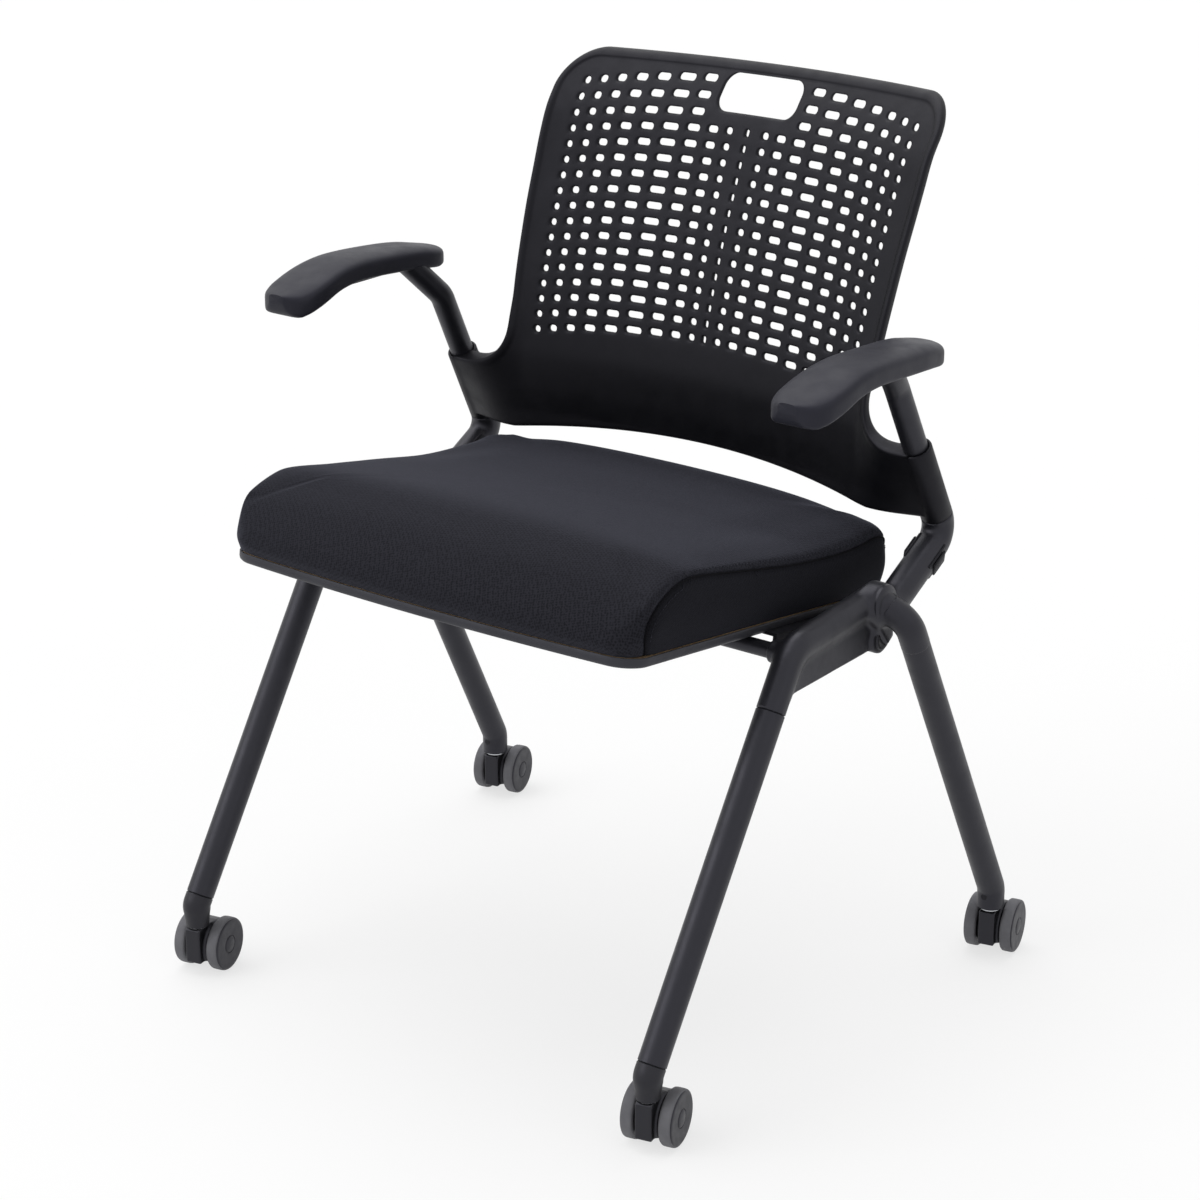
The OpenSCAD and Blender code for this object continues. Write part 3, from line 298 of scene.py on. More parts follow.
def swept(path, radii, sides=48):
    """Rings of the given radii round each point of a path."""
    path = np.asarray(path, float)
    tangents = np.gradient(path, axis=0)
    for i in range(1, len(path) - 1):
        tangents[i] = unit(path[i] - path[i - 1]) + unit(path[i + 1] - path[i])
    side = axes_along(tangents[0])[0]
    angles = np.linspace(0, 2 * np.pi, sides, endpoint=False)
    rings = []
    for p, t, r in zip(path, tangents, np.broadcast_to(radii, len(path))):
        d = unit(t)
        side = unit(side - d * np.dot(side, d))
        rings.append(p + r * (np.outer(np.cos(angles), side) + np.outer(np.sin(angles), np.cross(d, side))))
    return rings


def tube(points, bends, start_edge=0.6, end_edge=0.6):
    """Closed round bar with rounded edges at its two ends."""
    path = round_path(points, bends)
    first, last = unit(path[1] - path[0]), unit(path[-2] - path[-1])
    path = np.concatenate([
        [path[0], path[0] + first * start_edge], path[1:-1], [path[-1] + last * end_edge, path[-1]],
    ])
    radii = np.full(len(path), TUBE_R)
    radii[0] -= start_edge
    radii[-1] -= end_edge
    return skin(swept(path, radii))


def surface_nets(field, low, high, step):
    """Quads over the zero level of field, which takes an array of points."""
    axes = [np.arange(a, b + step, step) for a, b in zip(low, high)]
    grid = np.stack(np.meshgrid(*axes, indexing="ij"), -1)
    value = field(grid.reshape(-1, 3)).reshape(grid.shape[:3])
    cells = tuple(n - 1 for n in value.shape)

    def part(a, corner):
        return a[tuple(slice(c, c + n) for c, n in zip(corner, cells))]

    total, count = np.zeros(cells + (3,)), np.zeros(cells)
    for corner in itertools.product((0, 1), repeat=3):
        for axis in (i for i in range(3) if corner[i] == 0):
            far = tuple(1 if i == axis else c for i, c in enumerate(corner))
            va, vb = part(value, corner), part(value, far)
            cross = (va < 0) != (vb < 0)
            point = part(grid, corner).copy()
            point[..., axis] += np.where(cross, va / np.where(cross, va - vb, 1), 0) * step
            total += point * cross[..., None]
            count += cross
    hit = count > 0
    ids = np.full(cells, -1)
    ids[hit] = np.arange(hit.sum())
    points = total[hit] / count[hit][:, None]
    faces = []
    for axis in range(3):
        lo = [slice(1, -1)] * 3
        lo[axis] = slice(0, -1)
        hi = list(lo)
        hi[axis] = slice(1, None)
        a, b = value[tuple(lo)], value[tuple(hi)]
        at = np.argwhere((a < 0) != (b < 0)) + [0 if i == axis else 1 for i in range(3)]
        p, q = [i for i in range(3) if i != axis]
        around = []
        for dp, dq in ((-1, -1), (0, -1), (0, 0), (-1, 0)):
            c = at.copy()
            c[:, p] += dp
            c[:, q] += dq
            around.append(ids[tuple(c.T)])
        faces += np.stack(around, 1).tolist()
    return points, faces


# Distance functions, for the castings and mouldings that blend into each other

def to_segment(p, a, b):
    d = b - a
    t = np.clip((p - a) @ d / max(d @ d, 1e-9), 0, 1)
    return np.linalg.norm(p - a - t[:, None] * d, axis=1)


def to_path(p, path):
    return np.min([to_segment(p, a, b) for a, b in zip(path, path[1:])], axis=0)


def field_path(p, path, r):
    return to_path(p, path) - r


def rounded(a, b, edge):
    """Distance to where two shapes overlap, with a rounded edge, from the distances to each."""
    q = np.stack([a, b], 1) + edge
    return np.minimum(q.max(1), 0) + np.linalg.norm(np.maximum(q, 0), axis=1) - edge


def inside(points, loop):
    """Which points of a plane lie inside a closed loop."""
    x, z = points[:, 0], points[:, 1]
    found = np.zeros(len(points), bool)
    for a, b in zip(loop, np.roll(loop, -1, 0)):
        if a[1] == b[1]:
            continue
        crossing = (a[1] > z) != (b[1] > z)
        found ^= crossing & (x < (b[0] - a[0]) * (z - a[1]) / (b[1] - a[1]) + a[0])
    return found


def distance_to_loop(points, loop):
    return to_path(points, np.concatenate([loop, loop[:1]]))


def field_rod(p, a, b, r, edge):
    """Cylinder from a to b with a rounded edge at each end."""
    a, b = np.asarray(a, float), np.asarray(b, float)
    d = unit(b - a)
    mid, half = (a + b) / 2, np.linalg.norm(b - a) / 2
    along = (p - mid) @ d
    across = np.linalg.norm(p - mid - along[:, None] * d, axis=1)
    return rounded(across - r, np.abs(along) - half, edge)


def field_plate(p, outline, x, half_t, edge):
    """Plate with a polygonal outline in Y and Z, rounded all round."""
    q = p[:, 1:]
    away = distance_to_loop(q, outline) * np.where(inside(q, outline), -1, 1)
    return rounded(away, np.abs(p[:, 0] - x) - half_t, edge)


def blended(a, b, k):
    h = np.clip(0.5 + 0.5 * (b - a) / k, 0, 1)
    return b + (a - b) * h - k * h * (1 - h)


# Materials

def new_material(name, colour, roughness, specular=0.5, sheen=0.0):
    material = bpy.data.materials.new(name)
    material.use_nodes = True
    nodes, links = material.node_tree.nodes, material.node_tree.links
    shader = nodes["Principled BSDF"]
    shader.inputs["Base Color"].default_value = (*colour, 1)
    shader.inputs["Roughness"].default_value = roughness
    shader.inputs["Specular IOR Level"].default_value = specular
    shader.inputs["Sheen Weight"].default_value = sheen
    shader.inputs["Specular Tint"].default_value = (0.87, 0.86, 1.0, 1)
    place = nodes.new("ShaderNodeTexCoord")
    return material, nodes, links, shader, place.outputs["Object"]


def mapped(nodes, links, place, socket, value):
    """Texture place, turned or stretched."""
    node = nodes.new("ShaderNodeMapping")
    node.inputs[socket].default_value = value
    links.new(place, node.inputs["Vector"])
    return node.outputs["Vector"]


def noise(nodes, links, place, scale, detail=2.0, rough=0.5):
    texture = nodes.new("ShaderNodeTexNoise")
    texture.inputs["Scale"].default_value = scale
    texture.inputs["Detail"].default_value = detail
    texture.inputs["Roughness"].default_value = rough
    links.new(place, texture.inputs["Vector"])
    return texture.outputs["Fac"]


def ramp(nodes, links, value, stops):
    node = nodes.new("ShaderNodeValToRGB")
    elements = node.color_ramp.elements
    for i, (at, colour) in enumerate(stops):
        element = elements[i] if i < 2 else elements.new(at)
        element.position = at
        element.color = (*colour, 1) if len(colour) == 3 else colour
    links.new(value, node.inputs["Fac"])
    return node.outputs["Color"]


def bump(nodes, links, shader, height, strength, distance):
    """Adds one layer of bump on top of what the shader has."""
    node = nodes.new("ShaderNodeBump")
    node.inputs["Strength"].default_value = strength
    node.inputs["Distance"].default_value = distance
    links.new(height, node.inputs["Height"])
    if shader.inputs["Normal"].links:
        links.new(shader.inputs["Normal"].links[0].from_socket, node.inputs["Normal"])
    links.new(node.outputs["Normal"], shader.inputs["Normal"])


def shade(colour, factor):
    return tuple(c * factor for c in colour)


def grained(name, colour, roughness, grain, depth, change, specular, blotch=25.0):
    """Moulded or coated surface: fine grain in its relief, and slow changes of tone and gloss."""
    material, nodes, links, shader, place = new_material(name, colour, roughness, specular)
    tone = noise(nodes, links, place, blotch, 3.0)
    stops = [(0.3, shade(colour, 1 - change)), (0.7, shade(colour, 1 + change))]
    links.new(ramp(nodes, links, tone, stops), shader.inputs["Base Color"])
    gloss = noise(nodes, links, place, blotch * 2.4, 4.0)
    stops = [(0.3, (roughness - 0.05,) * 3), (0.7, (roughness + 0.07,) * 3)]
    links.new(ramp(nodes, links, gloss, stops), shader.inputs["Roughness"])
    bump(nodes, links, shader, noise(nodes, links, place, grain, 2.0, 0.6), 0.5, depth)
    bump(nodes, links, shader, noise(nodes, links, place, grain / 7, 2.0), 0.25, depth * 2)
    return material


# Moulded and coated surfaces: colour, roughness, grain, relief in metres, change of tone, specular,
# and the scale of the blotches where it isn't the usual one
SURFACES = {
    "powder_coat": ((0.0075, 0.0077, 0.0098), 0.4, 1500, 0.00012, 0.1, 0.45),
    "shell_plastic": ((0.0032, 0.0032, 0.0042), 0.48, 1900, 0.00012, 0.08, 0.24),
    "pad_plastic": ((0.0145, 0.0148, 0.021), 0.46, 2300, 0.00009, 0.06, 0.24),
    "soft_rubber": ((0.007, 0.007, 0.008), 0.62, 1200, 0.0001, 0.1, 0.3),
    "caster_tread": ((0.13, 0.13, 0.138), 0.6, 900, 0.0001, 0.15, 0.4, 60),
    "caster_disc": ((0.016, 0.016, 0.019), 0.45, 1500, 0.00008, 0.1, 0.4, 60),
    "caster_housing": ((0.008, 0.008, 0.009), 0.36, 1500, 0.00008, 0.1, 0.4, 60),
    "fitting_plastic": ((0.01, 0.01, 0.011), 0.45, 1600, 0.0001, 0.1, 0.4, 60),
    "pan_plastic": ((0.026, 0.0265, 0.031), 0.5, 1400, 0.00015, 0.1, 0.35),
}


def woven_fabric(name, colour, pitch=0.0022, shine=0.12):
    """Open knitted cover: small dimples with raised yarns between, fuzz and a slow change of tone; the
    colour is painted darker in the dimples and lighter on the raised yarns, as painted shade and light.
    """
    material, nodes, links, shader, place = new_material(name, colour, 0.9, 0.12, shine)
    shader.inputs["Sheen Roughness"].default_value = 0.45
    shader.inputs["Sheen Tint"].default_value = (0.75, 0.78, 1.0, 1)
    turned = mapped(nodes, links, place, "Rotation", [math.radians(a) for a in (35, 20, 28)])
    dimples = nodes.new("ShaderNodeTexVoronoi")
    dimples.inputs["Scale"].default_value = 1 / pitch
    dimples.inputs["Randomness"].default_value = 0.35
    links.new(turned, dimples.inputs["Vector"])
    yarn = nodes.new("ShaderNodeMath")
    yarn.operation = "ADD"
    links.new(dimples.outputs["Distance"], yarn.inputs[0])
    links.new(noise(nodes, links, place, 900, 2.0), yarn.inputs[1])
    # The colour follows the relief: darker in the dimples is painted shade, lighter on the raised yarns is
    # painted light
    tones = [(0.55, shade(colour, 0.5)), (0.95, colour), (1.3, shade(colour, 1.6))]
    links.new(ramp(nodes, links, yarn.outputs[0], tones), shader.inputs["Base Color"])
    bump(nodes, links, shader, yarn.outputs[0], 0.5, 0.0004)
    bump(nodes, links, shader, noise(nodes, links, place, 14, 3.0), 0.2, 0.0015)
    return material


def zinc_steel():
    material, nodes, links, shader, place = new_material("zinc_steel", (0.56, 0.57, 0.6), 0.32)
    shader.inputs["Metallic"].default_value = 1.0
    scratches = noise(nodes, links, mapped(nodes, links, place, "Scale", (1, 1, 12)), 400, 3.0)
    stops = [(0.3, (0.24,) * 3), (0.7, (0.42,) * 3)]
    links.new(ramp(nodes, links, scratches, stops), shader.inputs["Roughness"])
    bump(nodes, links, shader, scratches, 0.2, 0.0001)
    return material


def plywood():
    material, nodes, links, shader, place = new_material("plywood", (0.42, 0.28, 0.15), 0.7)
    grain = noise(nodes, links, mapped(nodes, links, place, "Scale", (1, 14, 14)), 18, 5.0, 0.65)
    tones = [(0.3, (0.26, 0.16, 0.08)), (0.6, (0.46, 0.32, 0.18)), (0.8, (0.55, 0.4, 0.24))]
    links.new(ramp(nodes, links, grain, tones), shader.inputs["Base Color"])
    bump(nodes, links, shader, grain, 0.3, 0.0002)
    return material


# Frame pieces

LEG_DIR = unit(RAIL_FRONT - FRONT_FOOT)
LEG_TOP = RAIL_FRONT - LEG_DIR * SOCKET_L
LEG_BOTTOM = FRONT_FOOT + LEG_DIR * ADAPTER_LAP
UPRIGHT_DIR = unit(UPRIGHT_BEND - UPRIGHT_FOOT)
UPPER_DIR = unit(ARM_BEND - UPRIGHT_BEND)
SLEEVE_LOW = mix(UPRIGHT_BEND, ARM_BEND, SLEEVE_SHARES[0])
SLEEVE_HIGH = mix(UPRIGHT_BEND, ARM_BEND, SLEEVE_SHARES[1])
SHOULDER_L = 34.0
BOSS_X = LEG_X + 13
HUB_X = LEG_X + 8
SEAT_END_X = 238.3
RAIL_R = 30
UPRIGHT_TURN_R = 16
WEB_HALF_T = 6
HUB_R = 14
BOSS_R = 16.5
FRONT_BOSS_R = 10
SLEEVE_GAP = 0.25
CAST_STEP = 1.3


def bracket_field(p):
    """Cast side bracket: rail, web, hub, boss, arm and the rear leg's shoulder, joined with fillets."""
    path = round_path([LEG_TOP, RAIL_FRONT, RAIL_REAR, UPRIGHT_FOOT], [RAIL_R, UPRIGHT_TURN_R], 8)
    rail = np.maximum(field_path(p, path, TUBE_R), -((p - LEG_TOP) @ LEG_DIR))
    edge = LEG_TOP + LEG_DIR * 10
    web = field_plate(p, np.array([
        edge[1:], RAIL_FRONT[1:], RAIL_REAR[1:], UPRIGHT_FOOT[1:],
        [PIVOT[1], PIVOT[2] - 8], [edge[1] + 1.3 * TUBE_R, edge[2]],
    ]), LEG_X, WEB_HALF_T, 2)
    hub = field_rod(p, [SEAT_END_X, *PIVOT[1:]], [HUB_X, *PIVOT[1:]], HUB_R, 1.5)
    path = round_path([UPRIGHT_FOOT, UPRIGHT_BEND, SLEEVE_LOW], [20], 8)
    arm = np.maximum(field_path(p, path, SLEEVE_R), (p - SLEEVE_LOW) @ UPPER_DIR + SLEEVE_GAP)
    boss = field_rod(p, [LEG_X, *RAIL_REAR[1:]], [BOSS_X, *RAIL_REAR[1:]], BOSS_R, 1.5)
    front = field_rod(p, FRONT_CROSS - [20, 0, 0], FRONT_CROSS, FRONT_BOSS_R, 1.5)
    gusset = field_plate(p, np.array([
        [35.0, 385.0], [69.0, 385.0], [PIVOT[1] + 12, PIVOT[2]], [PIVOT[1] + 4, PIVOT[2] - 6],
    ]), LEG_X + 4, 9, 2)
    down = unit(REAR_FOOT - REAR_TOP)
    path = round_path([[BOSS_X - 4, *RAIL_REAR[1:]], REAR_TOP, REAR_TOP + down * SHOULDER_L], [24], 8)
    shoulder = np.maximum(field_path(p, path, TUBE_R + 0.15), (p - REAR_TOP) @ down - SHOULDER_L + 8)
    body = blended(rail, web, 7)
    for part, k in ((arm, 7), (boss, 8), (hub, 5), (front, 4), (gusset, 6), (shoulder, 9)):
        body = blended(body, part, k)
    return body


def side_brackets(material):
    low = np.array([LEG_X - 24, LEG_TOP[1] - 18, min(PIVOT[2] - 22, LEG_TOP[2] - 12)])
    high = np.array([REAR_TOP[0] + TUBE_R + 4, UPRIGHT_BEND[1] + 18, SLEEVE_LOW[2] + 10])
    made = surface_nets(bracket_field, low, high, CAST_STEP)
    both("cast_bracket", made, material, "powder_coat", "side_bracket", 60)


def flat_end(rings, z):
    """Slides the last ring along the tube onto a level plane."""
    direction = unit(rings[-1].mean(0) - rings[-2].mean(0))
    rings[-1] = rings[-1] + np.outer((z - rings[-1][:, 2]) / direction[2], direction)
    return rings


def frame_tubes(coat, plastic):
    front = tube([LEG_BOTTOM, LEG_TOP], [], start_edge=0.9, end_edge=0.9)
    both("front_leg_tube", front, coat, "powder_coat", "front_leg")
    arm_dir = unit(np.array([BOSS_X, *RAIL_REAR[1:]]) - REAR_TOP)
    inner = np.array([BOSS_X, *RAIL_REAR[1:]]) - arm_dir * 6
    rear = tube([REAR_STEM, REAR_FOOT, REAR_TOP, inner], [20, 24], start_edge=0.8)
    flange = lathe([(0, 4), (0, 15), (0.6, 16.4), (3.4, 16.4), (4.4, 15), (5.5, 13.2), (5.5, 4)],
                   [BOSS_X, *RAIL_REAR[1:]], [1, 0, 0])
    both("rear_leg_tube", join([rear, flange]), coat, "powder_coat", "rear_leg")
    path = round_path([SLEEVE_LOW, ARM_BEND, ARM_END], [30])
    upright = skin(flat_end(swept(path, UPRIGHT_R, 56), ARM_END[2]))
    both("upright_tube", upright, coat, "powder_coat", "upright")
    foot = [
        (FRONT_STEM - [0, 0, 1.9], 9.6), (FRONT_STEM - [0, 0, 1.2], 10.6), (FRONT_STEM + [0, 0, 10], 11.8),
        (FRONT_FOOT - [0, 0, 5], 12.5),
    ]
    knee = round_path([FRONT_FOOT - [0, 0, 4], FRONT_FOOT, LEG_BOTTOM], [9], 4)[1:-1]
    path = [p for p, r in foot] + list(knee) + [LEG_BOTTOM - LEG_DIR * 0.7, LEG_BOTTOM]
    radii = [r for p, r in foot] + [12.65] * (len(knee) + 1) + [11.9]
    both("leg_foot", skin(swept(path, radii)), plastic, "fitting_plastic", "leg_adapter")


def end_caps(material):
    profile = [(-1, 9), (0, 10.5), (1.2, 10.5), (2.1, 10), (2.5, 9), (2.5, 6), (2.0, 5.2), (2.0, 0)]
    caps = twins(lathe(profile, [HUB_X, *PIVOT[1:]], [1, 0, 0]))
    piece("cross_tube_end_caps", *caps, material, "frame", "fitting_plastic", ["cross_tube_caps"])


def bumpers(material):
    """Rubber blocks let into the bracket's arm, each with a raised pad."""
    mid = mix(UPRIGHT_FOOT, UPRIGHT_BEND, 0.66)
    u, v, d = axes_along(UPRIGHT_DIR)
    parts = []
    for facing in (math.radians(20), math.radians(200)):
        for width, length, r0, r1 in ((1.35, 30, 13.5, 15.9), (0.9, 20, 15.5, 17.1)):
            rings = []
            shape = [(-1, 0), (-0.96, 0.75), (-0.86, 1), (0.86, 1), (0.96, 0.75), (1, 0)]
            for along, rise in shape:
                ring = []
                for across, height in shape:
                    a = facing + across * width / 2
                    r = mix(r0, r1, min(rise, height))
                    ring.append(mid + d * along * length / 2 + r * (math.cos(a) * u + math.sin(a) * v))
                rings.append(np.array(ring))
            parts.append(skin(rings, closed=False, caps=False))
    blocks = twins(join(parts))
    piece("upright_bumper_blocks", *blocks, material, "frame", "soft_rubber", ["upright_bumpers"])


# Back

SHELL_AXIS_Y = SHELL_FRONT - PLAN_R
OUTER = len(SLOT_SHARES) - 1
FREE_ROWS = 3
FREE_COLUMNS = 3
SIDE_STEPS = 8
COLUMN_LEAN = SLOT_PITCH * 0.03
CREST_Z = 546.0
CUT_Z = 505.5
LEDGE_TILT = 0.4
SLEEVE_OVERLAP = 2.0
LOWER_EDGE_DROP = 3.8
LOWER_EDGE_SAG = 1.08 * SHELL_SAG
SLEEVE_FOOT_Z = (441.8, 441.2)
LOWER_EDGE_END = 200.0
CUT_CORNER_X = 242.0
CUT_ROUNDNESS = 0.85


def shell_y(z):
    return SHELL_FRONT + SHELL_LEAN * curve((z - SHELL_BOTTOM) / SHELL_H, LEAN_SHARES)


def half_width(z):
    return SHELL_W / 2 * curve((z - SHELL_BOTTOM) / SHELL_H, WIDTH_SHARES)


def upright_at(z):
    """Axis of the upright's upper stretch at a height."""
    t = (np.asarray(z, float) - UPRIGHT_BEND[2]) / (ARM_BEND[2] - UPRIGHT_BEND[2])
    return mix(UPRIGHT_BEND[0], ARM_BEND[0], t), mix(UPRIGHT_BEND[1], ARM_BEND[1], t)


def surface(x, z, depth):
    """Y of the shell's front face pushed back by depth, with the wings that turn back to the sleeves."""
    x, z = np.asarray(x, float), np.asarray(z, float)
    plain = SHELL_AXIS_Y + np.sqrt((shell_y(z) + depth - SHELL_AXIS_Y) ** 2 - x * x)
    ux, uy = upright_at(z)
    seat = uy - SLEEVE_R / UPPER_DIR[2] - 0.05 + depth
    start = half_width(z) - 12
    t = (np.abs(x) - start) / (ux - 4 - start)
    near = z < CREST_Z + 40
    share = np.where(near, mix(np.clip(t, 0, 1), smooth(t), 0.6), 0) * smooth((CREST_Z + 30 - z) / 50)
    return mix(plain, seat, share)


def column_x(k):
    if k == 0:
        return 0.0
    web = SLOT_WEB * (MID_WEB_SHARE if k == 1 else 1)
    return column_x(k - 1) + SLOT_W * (SLOT_SHARES[k - 1] + SLOT_SHARES[k]) / 2 + web


def slot_place(k, row):
    x = column_x(k) - (COLUMN_LEAN * (SLOT_ROWS - 4 - row) if k else 0)
    return x, SLOT_BOTTOM + row * SLOT_PITCH - SLOT_DROOP * (column_x(k) / column_x(OUTER)) ** 2


def cell_corner(b, r):
    """Corner between slot cells: b counts column borders out from the middle, r counts rows."""
    side = 1 if b > 0 else -1
    k = abs(b) - 1
    web = SLOT_WEB * (MID_WEB_SHARE if k == 0 else 1)
    x = column_x(k) + SLOT_W * SLOT_SHARES[k] / 2 + web / 2
    lean = COLUMN_LEAN * (SLOT_ROWS - 4 - r) * (0.5 if k == 0 else 1)
    z = SLOT_BOTTOM + r * SLOT_PITCH - SLOT_DROOP * (x / column_x(OUTER)) ** 2
    return np.array([side * (x - lean), z])


SIDE_TURN = np.linspace(-1, 1, SIDE_STEPS + 1)
# Shares along a cell's side, a little closer together near both ends
SIDE_SHARES = ((np.sin(SIDE_TURN * np.pi / 2) * 0.5 + SIDE_TURN * 0.5 + 1) / 2)[:-1]
ONES = np.ones(SIDE_STEPS)
SQUARE = np.concatenate([
    np.stack([SIDE_SHARES * 2 - 1, -ONES], 1), np.stack([ONES, SIDE_SHARES * 2 - 1], 1),
    np.stack([1 - SIDE_SHARES * 2, ONES], 1), np.stack([-ONES, 1 - SIDE_SHARES * 2], 1),
])


def rounded_hole(square, centre, half, r):
    """Maps points of the unit square's edge onto a rectangle with round corners."""
    half = np.asarray(half, float)
    q = square * half
    core = np.clip(q, -(half - r), half - r)
    away = q - core
    return centre + core + r * away / np.linalg.norm(away, axis=1)[:, None]


# Rings of a hole's edge from the front face to the back: growth of the outline, and depth
HOLE_RINGS = ((2.3, 0), (1.5, 0.12), (0.8, 0.45), (0.3, 0.95), (0, 1.8), (0, 3.7), (0.3, 4.2), (0.9, 4.5))


def ring_strip(rings):
    return skin([np.asarray(r) for r in rings], caps=False)


def hole_cell(border, square, centre, half, r, rings=HOLE_RINGS):
    """Front, wall and back round one hole, as rings of (x, depth, z)."""
    made = [(border, 0.0)]
    for grow, depth in rings:
        made.append((rounded_hole(square, centre, np.add(half, grow), r + grow), depth))
    made.append((border, SHELL_T))
    return ring_strip([np.stack([p[:, 0], np.full(len(p), d), p[:, 1]], 1) for p, d in made])


def cell_border(b0, b1, r0, r1):
    """Points round a block of cells, in step with each cell's own."""
    def side(corners):
        out = []
        for a, b in zip(corners, corners[1:]):
            out += [mix(a, b, t) for t in SIDE_SHARES]
        return out

    bs = [b for b in range(b0, b1 + 1) if b != 0]
    rs = list(np.arange(r0, r1 + 0.1))
    under, over = [cell_corner(b, r0) for b in bs], [cell_corner(b, r1) for b in reversed(bs)]
    right, left = [cell_corner(b1, r) for r in rs], [cell_corner(b0, r) for r in reversed(rs)]
    return np.array(side(under) + side(right) + side(over) + side(left))


def outline_half():
    """Right half of the back's outline in the front view, from the middle of its lower edge to the top."""
    foot = SHELL_BOTTOM - LOWER_EDGE_DROP
    bottom = [[x, foot - LOWER_EDGE_SAG * (x / 197) ** 2] for x in np.linspace(0, LOWER_EDGE_END, 41)]
    end_x = upright_at(SLEEVE_LOW[2])[0]
    for x in np.linspace(LOWER_EDGE_END + 5, end_x, 12):
        bottom.append([x, mix(*SLEEVE_FOOT_Z, smooth((x - LOWER_EDGE_END) / (end_x - LOWER_EDGE_END)))])
    top_x = upright_at(CUT_Z)[0]
    zs = np.linspace(SLEEVE_FOOT_Z[1], CUT_Z, 12)
    sleeve_side = [[x, z] for x, z in zip(np.linspace(end_x, top_x, 12)[1:], zs[1:])]
    reach = CUT_CORNER_X - half_width(CREST_Z)
    cut = [[top_x - t * (top_x - CUT_CORNER_X), CUT_Z] for t in (0.25, 0.5, 0.75)]
    for a in np.linspace(90, 0, 22):
        c, s = (f(math.radians(a)) ** CUT_ROUNDNESS for f in (math.cos, math.sin))
        cut.append([CUT_CORNER_X - reach * c, CREST_Z - (CREST_Z - CUT_Z) * s])
    top = SHELL_BOTTOM + SHELL_H
    side = [[half_width(z), z] for z in np.arange(CREST_Z + 4, top - SHELL_CORNER_R - 2, 4)]
    corner = [[
        SHELL_W / 2 - SHELL_CORNER_R * (1 - math.cos(a)), top - SHELL_CORNER_R * (1 - math.sin(a)),
    ] for a in np.radians(np.linspace(0, 90, 16))]
    edge = [[x, top] for x in np.linspace(SHELL_W / 2 - SHELL_CORNER_R, 0, 36)[1:]]
    return np.array(bottom + sleeve_side + cut + side + corner + edge)


def full_outline():
    half = outline_half()
    loop = np.concatenate([half, (half * [-1, 1])[::-1][1:-1]])
    gaps = np.linalg.norm(loop - np.roll(loop, 1, 0), axis=1)
    return loop[gaps > 0.05]


def loop_normals(loop):
    """Inward normals of a loop that runs anticlockwise."""
    t = np.roll(loop, -1, 0) - np.roll(loop, 1, 0)
    t /= np.linalg.norm(t, axis=1)[:, None]
    n = np.stack([-t[:, 1], t[:, 0]], 1)
    for _ in range(2):
        n = n + np.roll(n, 1, 0) + np.roll(n, -1, 0)
        n /= np.linalg.norm(n, axis=1)[:, None]
    return n


RIM_START = 9.0
PLAIN_STEP = 4.0
# Rim from the front face round the edge to the back face: inset from the outline, depth, and how raised
RIM_RINGS = (
    (7.6, 0.0, 0.05), (6.8, 0.0, 0.35), (6.0, 0.0, 0.8), (5.0, 0.0, 1.0), (3.2, 0.0, 1.0), (1.9, 0.15, 0.9),
    (0.9, 0.6, 0.7), (0.25, 1.5, 0.3), (0, 2.6, 0), (0, 6.2, 0), (0.4, 7.3, 0), (1.4, 8.0, 0),
    (5.4, 8.0, 0), (6.4, 7.6, 0), (6.9, 6.6, 0), (7.2, 5.3, 0), (7.9, 4.7, 0),
)
RIM_RISE = 1.7
# Where the rim's rise fades out towards the sleeve, and the lower edge's thickness too
RISE_END_X = 246.0
RISE_END_Z = 500.0
THIN_END_X = 210.0
HANDHOLD_CORNER_R = 11.5
HANDHOLD_EDGE = 0.8
SLOT_ROUNDNESS = 0.96


def plain_area(outer, inner):
    """Triangles between the slot block and the rim, in the front view."""
    low, high = outer.min(0), outer.max(0)
    xs, zs = np.arange(low[0], high[0], PLAIN_STEP), np.arange(low[1], high[1], PLAIN_STEP)
    grid = np.stack(np.meshgrid(xs, zs), -1).reshape(-1, 2)
    grid = grid[inside(grid, outer) & ~inside(grid, inner)]
    far = np.minimum(distance_to_loop(grid, outer), distance_to_loop(grid, inner)) > PLAIN_STEP * 0.6
    points = np.concatenate([outer, inner, grid[far]])
    edges = [(i, (i + 1) % len(outer)) for i in range(len(outer))]
    edges += [(len(outer) + i, len(outer) + (i + 1) % len(inner)) for i in range(len(inner))]
    made = geometry.delaunay_2d_cdt([Vector(p) for p in points], edges, [], 0, 1e-6)
    points, faces = np.array([list(v) for v in made[0]]), np.array(made[2])
    middle = points[faces].mean(1)
    return points, faces[inside(middle, outer) & ~inside(middle, inner)].tolist()


def at_depth(points, depth):
    return np.stack([points[:, 0], np.full(len(points), depth), points[:, 1]], 1)


